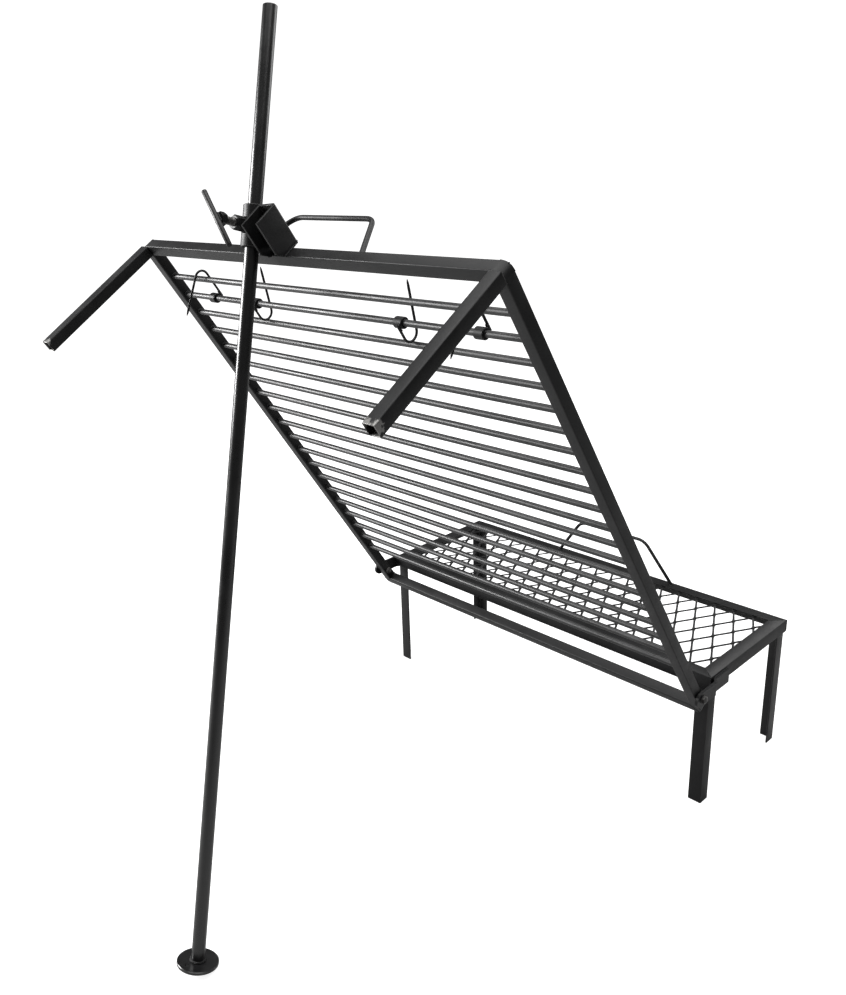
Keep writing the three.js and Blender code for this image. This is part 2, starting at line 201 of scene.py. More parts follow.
@dataclass(frozen=True)
class Paint:
    """Brushed black paint on steel, with dust, runs and bare spots."""

    name: str
    base: Colour = (0.0024, 0.0024, 0.0026)
    dusty: Colour = (0.010, 0.010, 0.0104)
    steel: Colour = (0.22, 0.217, 0.21)
    roughness: float = 0.34
    spread: float = 0.16
    grain_size: float = 0.004
    grain_depth: float = 0.00011
    specular: float = 0.26
    chips: tuple[Chip, ...] = ()

    def build(self) -> bpy.types.Material:
        """Makes the material.

        Returns:
            A material on object coordinates.
        """
        material, graph, shader = new_surface(self.name)
        place = graph.value(graph.add("ShaderNodeTexCoord"), "Object")
        patches = self._noise(graph, place, 14.0, 4.0)
        runs = self._noise(graph, place, 1.0 / self.grain_size, 3.0)
        fine = self._noise(graph, place, 1400.0, 2.0)
        dust = (patches.step(0.45, 0.72) * 0.55 + fine.step(0.6, 0.78) * 0.45).clamped()
        bare = self._bare(graph, place, runs)
        painted = mix_colour(graph, dust, (*self.base, 1.0), (*self.dusty, 1.0))
        colour = mix_colour(graph, bare, painted, (*self.steel, 1.0))
        graph.feed(shader.inputs["Base Color"], colour)
        rough = self.roughness + self.spread * patches.step(0.3, 0.7) + 0.1 * fine
        graph.feed(shader.inputs["Roughness"], rough)
        graph.feed(shader.inputs["Metallic"], bare * 0.85)
        shader.inputs["Specular IOR Level"].default_value = self.specular
        height = runs * 0.75 + fine * 0.25 - bare * 0.4
        bump = graph.add(
            "ShaderNodeBump",
            {},
            {"Height": height, "Distance": self.grain_depth, "Strength": 0.55},
        )
        graph.feed(shader.inputs["Normal"], graph.value(bump, "Normal"))
        return material

    @staticmethod
    def _noise(graph: Graph, place: Sock, scale: float, detail: float) -> Sock:
        """A noise value on the piece's own coordinates."""
        inputs = {"Vector": place, "Scale": scale, "Detail": detail, "Roughness": 0.55}
        return graph.value(graph.add("ShaderNodeTexNoise", {}, inputs), 0)

    def _bare(self, graph: Graph, place: Sock, runs: Sock) -> Sock:
        """Mask of the spots where steel shows."""
        mask = self._noise(graph, place, 260.0, 2.0).step(0.79, 0.83)
        for chip in self.chips:
            away = graph.add(
                "ShaderNodeVectorMath", {"operation": "DISTANCE"}, {0: place, 1: chip.centre}
            )
            ragged = graph.value(away, "Value") / chip.radius + (runs - 0.5) * 1.6
            mask = mask.bigger(1 - ragged.step(0.75, 1.0))
        return mask.clamped()


@dataclass(frozen=True)
class BareSteel:
    """Blackened steel, rubbed bright in scattered blotches."""

    name: str
    dark: Colour = (0.03, 0.029, 0.028)
    bright: Colour = (0.19, 0.185, 0.18)

    def build(self) -> bpy.types.Material:
        """Makes the material.

        Returns:
            A metallic material on object coordinates.
        """
        material, graph, shader = new_surface(self.name)
        place = graph.value(graph.add("ShaderNodeTexCoord"), "Object")
        blotch = graph.value(
            graph.add("ShaderNodeTexNoise", {}, {"Vector": place, "Scale": 160.0, "Detail": 5.0})
        )
        fine = graph.value(
            graph.add("ShaderNodeTexNoise", {}, {"Vector": place, "Scale": 1800.0, "Detail": 2.0})
        )
        rubbed = blotch.step(0.48, 0.66)
        colour = mix_colour(graph, rubbed, (*self.dark, 1.0), (*self.bright, 1.0))
        graph.feed(shader.inputs["Base Color"], colour)
        graph.feed(shader.inputs["Roughness"], 0.55 - rubbed * 0.18 + fine * 0.1)
        graph.feed(shader.inputs["Metallic"], 0.55 + rubbed * 0.4)
        bump = graph.add("ShaderNodeBump", {}, {"Height": fine, "Distance": 0.00005})
        graph.feed(shader.inputs["Normal"], graph.value(bump, "Normal"))
        return material


@dataclass(frozen=True)
class StudioFloor:
    """Plain pale studio floor."""

    name: str = "studio_floor"
    tone: float = 0.4
    near: float = 0.9
    far: float = 2.4

    def build(self) -> bpy.types.Material:
        """Makes the material of the floor.

        Returns:
            A matt material.
        """
        material, graph, shader = new_surface(self.name)
        shader.inputs["Base Color"].default_value = (self.tone, self.tone, self.tone, 1.0)
        place = graph.add("ShaderNodeTexCoord").outputs["Object"]
        away = graph.add("ShaderNodeVectorMath", {"operation": "LENGTH"}, {0: place})
        seen = graph.value(graph.add("ShaderNodeLightPath"), "Is Camera Ray")
        glow = seen * (0.8 + 0.3 * graph.value(away, "Value").step(self.near, self.far))
        white = mix_colour(graph, glow, (0.0, 0.0, 0.0, 1.0), (1.0, 1.0, 1.0, 1.0))
        graph.feed(shader.inputs["Emission Color"], white)
        shader.inputs["Emission Strength"].default_value = 1.1
        shader.inputs["Roughness"].default_value = 0.9
        shader.inputs["Specular IOR Level"].default_value = 0.1
        return material


def new_surface(name: str) -> tuple[bpy.types.Material, Graph, bpy.types.Node]:
    """Makes an empty surface material.

    Args:
        name: Name of the material.

    Returns:
        The material, its graph and its shader node.
    """
    material = bpy.data.materials.new(name)
    material.use_nodes = True
    tree = material.node_tree
    tree.nodes.clear()
    graph = Graph(tree)
    shader = graph.add("ShaderNodeBsdfPrincipled")
    graph.add("ShaderNodeOutputMaterial", {}, {"Surface": shader.outputs["BSDF"]})
    return material, graph, shader


def mix_colour(graph: Graph, factor: Sock, first: object, second: object) -> Sock:
    """Blends two colours.

    Args:
        graph: Graph to add to.
        factor: 0 gives the first colour, 1 the second.
        first: A colour or a Sock.
        second: A colour or a Sock.

    Returns:
        The blended colour.
    """
    node = graph.add("ShaderNodeMix", {"data_type": "RGBA"}, {0: factor, 6: first, 7: second})
    return graph.value(node, 2)


# ---- frames and meshes ---------------------------------------------------------


@dataclass(frozen=True)
class Axes:
    """A local frame placed in the row frame."""

    origin: Vector
    x: Vector
    y: Vector
    z: Vector

    def at(self, x: float, y: float, z: float) -> Vector:
        """A local point in the row frame."""
        return self.origin + self.x * x + self.y * y + self.z * z

    def matrix(self) -> Matrix:
        """The frame as a matrix."""
        turned = Matrix((self.x, self.y, self.z)).transposed().to_4x4()
        return Matrix.Translation(self.origin) @ turned


def joint(name: str) -> dict:
    """The frame's record of one joint."""
    return next(j for j in frame["record"]["behaviour"]["joints"] if j["name"] == name)


def panel_axes() -> Axes:
    """The panel's frame: origin on the hinge, Z up the panel, Y out of its back."""
    low = middle("bar_01")
    high = middle("bar_20")
    up = (high - low).normalized()
    across = Vector((1, 0, 0))
    return Axes(Vector(joint("panel_hinge")["pos_m"]), across, up.cross(across), up)


def clamp_axes() -> Axes:
    """The clamp's frame: origin on the pole, Z up the pole, X along the pivot."""
    up = Vector(joint("pole_slide")["axis"]).normalized()
    across = Vector(joint("clamp_swing")["axis"]).normalized()
    return Axes(Vector(joint("clamp_swing")["pos_m"]), across, up.cross(across), up)


def middle(node: str) -> Vector:
    """The centre of a CAD node's box."""
    low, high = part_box(node)
    return (Vector(low) + Vector(high)) / 2


def rounded_square(half: float, radius: float, per_corner: int = 4) -> list[Point2]:
    """Outline of a square with round corners.

    Args:
        half: Half of the square's side.
        radius: Corner radius.
        per_corner: Segments in each corner.

    Returns:
        Points anticlockwise.
    """
    points = []
    for quarter in range(4):
        turn = quarter * math.pi / 2
        for i in range(per_corner + 1):
            angle = turn + i / per_corner * math.pi / 2
            sx = 1 if quarter in (0, 3) else -1
            sy = 1 if quarter in (0, 1) else -1
            cx, cy = sx * (half - radius), sy * (half - radius)
            points.append((cx + radius * math.cos(angle), cy + radius * math.sin(angle)))
    return points


def rounded_corners(points: Sequence[Vector], bend: float, parts: int = 8) -> list[Vector]:
    """A path whose inner corners are bent on a radius.

    Args:
        points: Corner points.
        bend: Distance from a corner to where its bend starts.
        parts: Segments in each bend.

    Returns:
        The points of the smooth path.
    """
    path = [points[0]]
    for before, corner, after in zip(points, points[1:], points[2:]):
        start = corner + (before - corner).normalized() * bend
        end = corner + (after - corner).normalized() * bend
        for i in range(parts + 1):
            t = i / parts
            path.append(start * (1 - t) ** 2 + corner * 2 * t * (1 - t) + end * t * t)
    path.append(points[-1])
    return path


class Shape:
    """Collects closed shells and turns them into one mesh object."""

    def __init__(self, shells: Optional[bmesh.types.BMesh] = None) -> None:
        """Starts with nothing, or with shells already made."""
        self.bm = bmesh.new() if shells is None else shells

    def _loop(self, points: Sequence[Vector]) -> list[bmesh.types.BMVert]:
        """Adds a ring of vertices."""
        return [self.bm.verts.new(p) for p in points]

    def _bridge(self, first: list, second: list) -> None:
        """Joins two rings of equal length with quads."""
        count = len(first)
        for i in range(count):
            j = (i + 1) % count
            self.bm.faces.new((first[i], first[j], second[j], second[i]))

    def prism(
        self,
        outer: Sequence[Point2],
        inner: Sequence[Point2],
        ends: tuple[Callable[[float, float], float], Callable[[float, float], float]],
        place: Matrix,
    ) -> None:
        """Adds a straight bar of constant section.

        Args:
            outer: Outline of the section.
            inner: Outline of its bore, with as many points, or empty.
            ends: Height of the start and of the end at a section point.
            place: Puts the section's X, Y and length Z in the row frame.
        """
        start, end = ends
        rings = []
        for outline in (outer, inner):
            low = self._loop([place @ Vector((x, y, start(x, y))) for x, y in outline])
            high = self._loop([place @ Vector((x, y, end(x, y))) for x, y in outline])
            rings.append((low, high))
        (low, high), (bore_low, bore_high) = rings
        self._bridge(low, high)
        if inner:
            self._bridge(bore_high, bore_low)
            self._bridge(bore_low, low)
            self._bridge(high, bore_high)
        else:
            self.bm.faces.new(list(reversed(low)))
            self.bm.faces.new(high)

    def sweep(
        self,
        path: Sequence[Vector],
        radii: Sequence[float],
        segments: int = 14,
        closed: bool = False,
    ) -> None:
        """Adds a round rod along a path.

        Args:
            path: Points of the centre line.
            radii: Radius at each point.
            segments: Sides of the rod.
            closed: Whether the path is a ring.
        """
        rings = []
        count = len(path)
        side = None
        for i, point in enumerate(path):
            before = path[i - 1] if i > 0 or closed else point
            after = path[(i + 1) % count] if i < count - 1 or closed else point
            ahead = (after - before).normalized()
            if side is None:
                side = ahead.orthogonal()
            side = (side - ahead * side.dot(ahead)).normalized()
            up = ahead.cross(side)
            ring = []
            for k in range(segments):
                angle = 2 * math.pi * k / segments
                offset = side * math.cos(angle) + up * math.sin(angle)
                ring.append(point + offset * radii[i])
            rings.append(self._loop(ring))
        for first, second in zip(rings, rings[1:]):
            self._bridge(first, second)
        if closed:
            self._bridge(rings[-1], rings[0])
        else:
            self.bm.faces.new(list(reversed(rings[0])))
            self.bm.faces.new(rings[-1])

    def lathe(self, profile: Sequence[Point2], place: Matrix, segments: int = 40) -> None:
        """Adds a turned shape round local Z.

        Args:
            profile: Closed outline as (radius, height), or one from axis to axis.
            place: Puts the shape in the row frame.
            segments: Steps round the axis.
        """
        rings = []
        for radius, height in profile:
            if radius < 1e-7:
                rings.append(self._loop([place @ Vector((0, 0, height))]))
                continue
            ring = []
            for k in range(segments):
                angle = 2 * math.pi * k / segments
                spot = Vector((radius * math.cos(angle), radius * math.sin(angle), height))
                ring.append(place @ spot)
            rings.append(self._loop(ring))
        on_axis = profile[0][0] < 1e-7
        pairs = list(zip(rings, rings[1:]))
        if not on_axis:
            pairs.append((rings[-1], rings[0]))
        for first, second in pairs:
            if len(first) == 1:
                self._fan(first[0], second)
            elif len(second) == 1:
                self._fan(second[0], first)
            else:
                self._bridge(first, second)

    def _fan(self, hub: bmesh.types.BMVert, ring: list) -> None:
        """Closes a ring to one vertex."""
        for i, vert in enumerate(ring):
            self.bm.faces.new((hub, vert, ring[(i + 1) % len(ring)]))

    def hexagon(
        self, flats: float, length: float, bore: float, place: Matrix, segments: int = 48
    ) -> None:
        """Adds a hexagonal body whose corners are turned off on both ends.

        Args:
            flats: Distance across the flats.
            length: Length along local Z.
            bore: Radius of its hole, or 0.
            place: Puts it in the row frame.
            segments: Steps round the axis.
        """
        apothem = flats / 2
        face = apothem * 0.94
        rings: list[list[Vector]] = [[], [], [], [], [], []]
        for k in range(segments):
            angle = 2 * math.pi * k / segments
            swing = (angle + math.pi / 6) % (math.pi / 3) - math.pi / 6
            corner = apothem / math.cos(swing)
            drop = (corner - face) * math.tan(math.radians(28))
            ends = ((face, 0.0), (corner, drop), (corner, length - drop), (face, length))
            bores = ((max(bore, 0.0002), length), (max(bore, 0.0002), 0.0))
            for ring, (radius, height) in zip(rings, (*ends, *bores)):
                spot = Vector((radius * math.cos(angle), radius * math.sin(angle), height))
                ring.append(place @ spot)
        loops = [self._loop(ring) for ring in (rings if bore > 0 else rings[:4])]
        if bore > 0:
            for first, second in zip(loops, loops[1:] + loops[:1]):
                self._bridge(first, second)
            return
        for first, second in zip(loops[:3], loops[1:4]):
            self._bridge(first, second)
        self.bm.faces.new(list(reversed(loops[0])))
        self.bm.faces.new(loops[3])

    def thread(self, radius: float, pitch: float, length: float, place: Matrix) -> None:
        """Adds a threaded rod whose ridge winds round local Z.

        Args:
            radius: Radius over the crests.
            pitch: Distance between crests.
            length: Length of the rod.
            place: Puts it in the row frame.
        """
        around, per_turn = 28, 8
        rows = int(length / pitch * per_turn)
        depth = pitch * 0.55
        rings = []
        for row in range(rows + 1):
            height = length * row / rows
            fade = min(1.0, row / per_turn, (rows - row) / per_turn)
            ring = []
            for k in range(around):
                angle = 2 * math.pi * k / around
                phase = (height / pitch - k / around) % 1.0
                ridge = 1 - abs(2 * phase - 1)
                reach = radius - depth * (1 - ridge) - (1 - fade) * depth * ridge
                spot = Vector((reach * math.cos(angle), reach * math.sin(angle), height))
                ring.append(place @ spot)
            rings.append(self._loop(ring))
        for first, second in zip(rings, rings[1:]):
            self._bridge(first, second)
        self.bm.faces.new(list(reversed(rings[0])))
        self.bm.faces.new(rings[-1])

    def build(self, name: str, smooth_deg: float = 38.0) -> bpy.types.Object:
        """Turns the shells into an object at the origin.

        Args:
            name: Name of the object.
            smooth_deg: Edges flatter than this are shaded smooth.

        Returns:
            The new object.
        """
        loose = [v for v in self.bm.verts if not v.link_faces]
        bmesh.ops.delete(self.bm, geom=loose, context="VERTS")
        bmesh.ops.remove_doubles(self.bm, verts=self.bm.verts, dist=1e-7)
        bmesh.ops.recalc_face_normals(self.bm, faces=self.bm.faces)
        mesh = bpy.data.meshes.new(name)
        self.bm.to_mesh(mesh)
        self.bm.free()
        return shaded_object(name, mesh, smooth_deg)


def shaded_object(name: str, mesh: bpy.types.Mesh, smooth_deg: float) -> bpy.types.Object:
    """Links an object for a mesh and shades its flat edges smooth.

    Args:
        name: Name of the object.
        mesh: Its mesh.
        smooth_deg: Edges flatter than this are shaded smooth.

    Returns:
        The new object.
    """
    mesh.shade_smooth()
    mesh.set_sharp_from_angle(angle=math.radians(smooth_deg))
    made = bpy.data.objects.new(name, mesh)
    bpy.context.scene.collection.objects.link(made)
    return made


def publish(
    made: bpy.types.Object,
    finish: bpy.types.Material,
    body: str,
    nodes: Sequence[str] = (),
    bevel: float = 0.0,
) -> bpy.types.Object:
    """Finishes a piece and hands it to the frame.

    Args:
        made: The piece.
        finish: Its material.
        body: Body that it rides on.
        nodes: CAD nodes that it stands for.
        bevel: Width of a bevel on its sharp edges, or 0.

    Returns:
        The piece.
    """
    made.data.materials.clear()
    made.data.materials.append(finish)
    if bevel > 0:
        rounding = made.modifiers.new("edge", "BEVEL")
        rounding.width = bevel
        rounding.segments = 2
        rounding.limit_method = "ANGLE"
        rounding.angle_limit = math.radians(50)
        rounding.harden_normals = False
    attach(made, body)
    if nodes:
        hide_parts(*nodes)
    LOG.info("piece %s on %s: %d faces", made.name, body, len(made.data.polygons))
    return made


# ---- geometry node trees -------------------------------------------------------


class GrowthTree:
    """A geometry node tree with named inputs, applied to a mesh."""

    def __init__(self, name: str, inputs: dict[str, str]) -> None:
        """Makes the tree's sockets.

        Args:
            name: Name of the tree.
            inputs: Input name to socket type.
        """
        self.group = bpy.data.node_groups.new(name, "GeometryNodeTree")
        self.graph = Graph(self.group)
        sides = self.group.interface
        sides.new_socket("Geometry", in_out="INPUT", socket_type="NodeSocketGeometry")
        for label, kind in inputs.items():
            sides.new_socket(label, in_out="INPUT", socket_type=kind)
        sides.new_socket("Geometry", in_out="OUTPUT", socket_type="NodeSocketGeometry")
        self.source = self.graph.add("NodeGroupInput")

    def given(self, label: str) -> Sock:
        """One of the tree's inputs."""
        return self.graph.value(self.source, label)

    def close(self, instances: bpy.types.NodeSocket) -> None:
        """Ends the tree by realizing its instances and setting their material."""
        real = self.graph.add("GeometryNodeRealizeInstances", {}, {"Geometry": instances})
        inputs = {"Geometry": real.outputs[0], "Material": self.given("Material")}
        painted = self.graph.add("GeometryNodeSetMaterial", {}, inputs)
        self.graph.add("NodeGroupOutput", {}, {"Geometry": painted.outputs[0]})

    def grow(
        self, name: str, source: bpy.types.Mesh, values: dict[str, object]
    ) -> bpy.types.Mesh:
        """Applies the tree to a mesh.

        Args:
            name: Name of the result.
            source: Mesh that the tree starts from.
            values: Input name to value.

        Returns:
            The plain mesh.
        """
        carrier = bpy.data.objects.new(name + "_source", source)
        bpy.context.scene.collection.objects.link(carrier)
        growth = carrier.modifiers.new("growth", "NODES")
        growth.node_group = self.group
        for item in self.group.interface.items_tree:
            if item.in_out == "INPUT" and item.name in values:
                growth[item.identifier] = values[item.name]
        depsgraph = bpy.context.evaluated_depsgraph_get()
        mesh = bpy.data.meshes.new_from_object(carrier.evaluated_get(depsgraph))
        mesh.name = name
        bpy.data.objects.remove(carrier)
        bpy.data.meshes.remove(source)
        return mesh


def polylines(paths: Sequence[Sequence[Vector]]) -> bpy.types.Mesh:
    """A mesh of edges along several open paths."""
    verts: list[Vector] = []
    edges = []
    for path in paths:
        first = len(verts)
        verts.extend(path)
        edges.extend((i, i + 1) for i in range(first, len(verts) - 1))
    mesh = bpy.data.meshes.new("paths")
    mesh.from_pydata(verts, edges, [])
    return mesh


def weld_tree() -> GrowthTree:
    """Overlapping drops of weld metal along a path."""
    tree = GrowthTree(
        "weld_bead",
        {
            "Spacing": "NodeSocketFloat",
            "Radius": "NodeSocketFloat",
            "Seed": "NodeSocketInt",
            "Material": "NodeSocketMaterial",
        },
    )
    graph = tree.graph
    curve = graph.add("GeometryNodeMeshToCurve", {}, {"Mesh": tree.given("Geometry")})
    points = graph.add(
        "GeometryNodeCurveToPoints",
        {"mode": "LENGTH"},
        {"Curve": curve.outputs[0], "Length": tree.given("Spacing")},
    )
    drop = graph.add(
        "GeometryNodeMeshUVSphere",
        {},
        {"Segments": 8, "Rings": 6, "Radius": tree.given("Radius")},
    )
    size = graph.add(
        "FunctionNodeRandomValue",
        {"data_type": "FLOAT_VECTOR"},
        {0: (0.85, 0.85, 0.8), 1: (1.15, 1.15, 1.1), "Seed": tree.given("Seed")},
    )
    spin = graph.add(
        "FunctionNodeRandomValue",
        {"data_type": "FLOAT_VECTOR"},
        {0: (0, 0, 0), 1: (6.28, 6.28, 6.28), "Seed": tree.given("Seed")},
    )
    placed = graph.add(
        "GeometryNodeInstanceOnPoints",
        {},
        {
            "Points": points.outputs[0],
            "Instance": drop.outputs[0],
            "Rotation": spin.outputs[0],
            "Scale": size.outputs[0],
        },
    )
    tree.close(placed.outputs[0])
    return tree


def ladder_tree() -> GrowthTree:
    """Equal round bars at an even pitch, each one as long as the source edge."""
    tree = GrowthTree(
        "ladder_bars",
        {
            "Count": "NodeSocketInt",
            "Step": "NodeSocketVector",
            "Radius": "NodeSocketFloat",
            "Material": "NodeSocketMaterial",
        },
    )
    graph = tree.graph
    line = graph.add(
        "GeometryNodeMeshLine",
        {"mode": "OFFSET"},
        {"Count": tree.given("Count"), "Start Location": (0, 0, 0), "Offset": tree.given("Step")},
    )
    ring = graph.add(
        "GeometryNodeCurvePrimitiveCircle", {}, {"Resolution": 20, "Radius": tree.given("Radius")}
    )
    core = graph.add("GeometryNodeMeshToCurve", {}, {"Mesh": tree.given("Geometry")})
    rod = graph.add(
        "GeometryNodeCurveToMesh",
        {},
        {"Curve": core.outputs[0], "Profile Curve": ring.outputs[0], "Fill Caps": True},
    )
    placed = graph.add(
        "GeometryNodeInstanceOnPoints",
        {},
        {"Points": line.outputs[0], "Instance": rod.outputs[0]},
    )
    tree.close(placed.outputs[0])
    return tree


def lattice_tree() -> GrowthTree:
    """Copies of one source cell on two interlaced grids of points."""
    tree = GrowthTree(
        "expanded_lattice",
        {
            "Columns": "NodeSocketInt",
            "Rows": "NodeSocketInt",
            "Cell Width": "NodeSocketFloat",
            "Cell Length": "NodeSocketFloat",
            "Centre": "NodeSocketVector",
            "Material": "NodeSocketMaterial",
        },
    )
    graph = tree.graph
    columns, rows = tree.given("Columns"), tree.given("Rows")
    width, length = tree.given("Cell Width"), tree.given("Cell Length")
    joined = graph.add("GeometryNodeJoinGeometry")
    for share in (0.0, 0.5):
        grid = graph.add(
            "GeometryNodeMeshGrid",
            {},
            {
                "Size X": width * (columns - 1),
                "Size Y": length * (rows - 1),
                "Vertices X": columns,
                "Vertices Y": rows,
            },
        )
        offsets = {0: width * share, 1: length * share, 2: 0.0}
        corner = graph.add("ShaderNodeCombineXYZ", {}, offsets)
        shifted = graph.add(
            "ShaderNodeVectorMath",
            {"operation": "ADD"},
            {0: corner.outputs[0], 1: tree.given("Centre")},
        )
        moved = graph.add(
            "GeometryNodeTransform",
            {},
            {"Geometry": grid.outputs[0], "Translation": shifted.outputs[0]},
        )
        graph.tree.links.new(moved.outputs[0], joined.inputs[0])
    placed = graph.add(
        "GeometryNodeInstanceOnPoints",
        {},
        {"Points": joined.outputs[0], "Instance": tree.given("Geometry")},
    )
    tree.close(placed.outputs[0])
    return tree


@dataclass
class Welder:
    """Lays weld beads on a body."""

    tree: GrowthTree
    finish: bpy.types.Material
    seed: int = 3

    def lay(self, name: str, body: str, paths: Sequence[Sequence[Vector]], radius: float) -> None:
        """Lays beads along paths as one piece.

        Args:
            name: Name of the piece.
            body: Body that it rides on.
            paths: Centre lines of the beads.
            radius: Half of a bead's width.
        """
        self.seed += 1
        values = {
            "Spacing": radius * 1.05,
            "Radius": radius,
            "Seed": self.seed,
            "Material": self.finish,
        }
        mesh = self.tree.grow(name, polylines(paths), values)
        publish(shaded_object(name, mesh, 180), self.finish, body)


def ring_path(centre: Vector, normal: Vector, radius: float, parts: int = 20) -> list[Vector]:
    """Points round a circle, closed on the first.

    Args:
        centre: Centre of the circle.
        normal: Its axis.
        radius: Its radius.
        parts: Steps round it.

    Returns:
        The points.
    """
    side = normal.orthogonal().normalized()
    up = normal.normalized().cross(side)
    turns = [2 * math.pi * i / parts for i in range(parts + 1)]
    return [centre + (side * math.cos(a) + up * math.sin(a)) * radius for a in turns]


def line_path(start: Vector, end: Vector) -> list[Vector]:
    """A straight path."""
    return [start, end]


# ---- low grate -----------------------------------------------------------------


@dataclass
class LowGrate:
    """Low cooking grate: angle-iron rim, expanded mesh, four legs and a handle."""

    paint: bpy.types.Material
    mesh_paint: bpy.types.Material
    welder: Welder
    leg_width: float = 0.025
    wall: float = 0.003
    cell: Point2 = (0.040, 0.080)
    strand: float = 0.0042
    strand_depth: float = 0.0021
    handle_radius: float = 0.0035
    handle_runs: Point2 = (0.056, 0.069)
    handle_bend: float = 0.016
    body: str = Body.GRATE.value
    seam: float = 0.0001

    def __post_init__(self) -> None:
        """Reads the rim's outer lines from the frame."""
        self.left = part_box("left_rail")[0][0]
        self.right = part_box("right_rail")[1][0]
        self.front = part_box("front_rail")[0][1]
        self.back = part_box("rear_rail")[1][1]
        self.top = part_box("front_rail")[1][2]

    def build(self) -> None:
        """Makes every piece of the grate."""
        self._rails()
        self._mesh()
        self._legs()
        self._handle()
        self._welds()

    def _section(self) -> list[Point2]:
        """Rolled angle section: X inward, Y down, with a root fillet and round toes."""
        a, t, root, toe = self.leg_width, self.wall, 0.0028, 0.0014
        points = [(0.0006, 0.0), (a - 0.0003, 0.0), (a, 0.0003)]
        turns = (0.3, 0.8, 1.3)
        points += [(a - toe + toe * math.cos(v), t - toe + toe * math.sin(v)) for v in turns]
        for i in range(5):
            v = i / 4 * math.pi / 2
            points.append((t + root - root * math.sin(v), t + root - root * math.cos(v)))
        points += [(t - toe + toe * math.cos(v), a - toe + toe * math.sin(v)) for v in turns]
        points += [(0.0003, a), (0.0, a - 0.0003), (0.0, 0.0006), (0.0002, 0.0002)]
        return points

    def _rails(self) -> None:
        """Four rim rails, mitred at the corners."""
        x_axis, y_axis, down = Vector((1, 0, 0)), Vector((0, 1, 0)), Vector((0, 0, -1))
        wide, deep = self.right - self.left, self.back - self.front
        corners = {
            "front_rail": (y_axis, -x_axis, (self.right, self.front), wide),
            "rear_rail": (-y_axis, x_axis, (self.left, self.back), wide),
            "left_rail": (x_axis, y_axis, (self.left, self.front), deep),
            "right_rail": (-x_axis, -y_axis, (self.right, self.back), deep),
        }
        for node, (inward, along, (x, y), length) in corners.items():
            place = Axes(Vector((x, y, self.top)), inward, down, along).matrix()
            shape = Shape()
            ends = (
                lambda x, y: x + self.seam,
                lambda x, y, length=length: length - x - self.seam,
            )
            shape.prism(self._section(), (), ends, place)
            publish(shape.build("grate_" + node), self.paint, self.body, [node])

    def _mesh(self) -> None:
        """Expanded mesh, cut to the sheet's outline."""
        low, high = (Vector(p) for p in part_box("grate_mesh"))
        centre = (low + high) / 2
        source = self._cell_mesh()
        values = {
            "Columns": 22,
            "Rows": 6,
            "Cell Width": self.cell[0],
            "Cell Length": self.cell[1],
            "Centre": centre,
            "Material": self.mesh_paint,
        }
        mesh = lattice_tree().grow("grate_expanded_mesh", source, values)
        bm = bmesh.new()
        bm.from_mesh(mesh)
        for axis, side in ((0, low), (0, high), (1, low), (1, high)):
            normal = Vector((0, 0, 0))
            normal[axis] = 1.0 if side is high else -1.0
            geom = bm.verts[:] + bm.edges[:] + bm.faces[:]
            bmesh.ops.bisect_plane(
                bm, geom=geom, dist=1e-6, plane_co=side, plane_no=normal, clear_outer=True
            )
            edges = [e for e in bm.edges if e.is_boundary]
            bmesh.ops.holes_fill(bm, edges=edges, sides=12)
        bm.to_mesh(mesh)
        bm.free()
        made = shaded_object("grate_expanded_mesh", mesh, 40)
        publish(made, self.mesh_paint, self.body, ["grate_mesh"])

    def _cell_mesh(self) -> bpy.types.Mesh:
        """One knuckle of the expanded mesh with its four half strands."""
        half_x, half_y = self.cell[0] / 4, self.cell[1] / 4
        half_w, half_t, tilt = self.strand / 2, self.strand_depth / 2, 0.0006
        bm = bmesh.new()
        across = Vector((half_y, -half_x, 0)).normalized()
        for sx in (1, -1):
            for sy in (1, -1):
                side = Vector((across.x * sx, across.y * sy, 0)) * half_w
                rings = []
                for share, swell in ((-0.12, 1.0), (0.1, 1.25), (0.24, 1.0), (1.0, 0.94)):
                    rise = tilt * sy * (1 - max(share, 0.0)) * (1 if share > 0 else 0.4)
                    spot = Vector((half_x * sx * share, half_y * sy * share, rise))
                    wide = side * swell
                    up = Vector((0, 0, half_t))
                    lean = Vector((0, 0, 0.00035 * sy))
                    ring = [spot + wide + up + lean, spot - wide + up - lean]
                    ring += [spot - wide - up - lean, spot + wide - up + lean]
                    rings.append([bm.verts.new(p) for p in ring])
                for first, second in zip(rings, rings[1:]):
                    for i in range(4):
                        j = (i + 1) % 4
                        bm.faces.new((first[i], first[j], second[j], second[i]))
                bm.faces.new(list(reversed(rings[0])))
                bm.faces.new(rings[-1])
        bmesh.ops.recalc_face_normals(bm, faces=bm.faces)
        mesh = bpy.data.meshes.new("mesh_cell")
        bm.to_mesh(mesh)
        bm.free()
        return mesh

    def _legs(self) -> None:
        """Four angle legs with square-cut feet."""
        turns = {
            "leg_front_left": (1, 1, 0, 0),
            "leg_front_right": (-1, 1, 1, 0),
            "leg_back_right": (-1, -1, 1, 1),
            "leg_back_left": (1, -1, 0, 1),
        }
        for node, (sx, sy, from_right, from_back) in turns.items():
            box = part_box(node)
            corner = Vector((box[from_right][0], box[from_back][1], box[0][2]))
            height = box[1][2] - box[0][2]
            inward, across = Vector((sx, 0, 0)), Vector((0, sy, 0))
            place = Axes(corner, inward, across, Vector((0, 0, 1))).matrix()
            shape = Shape()
            shape.prism(self._section(), (), (lambda x, y: 0.0, lambda x, y, h=height: h), place)
            publish(shape.build(node + "_angle"), self.paint, self.body, [node])

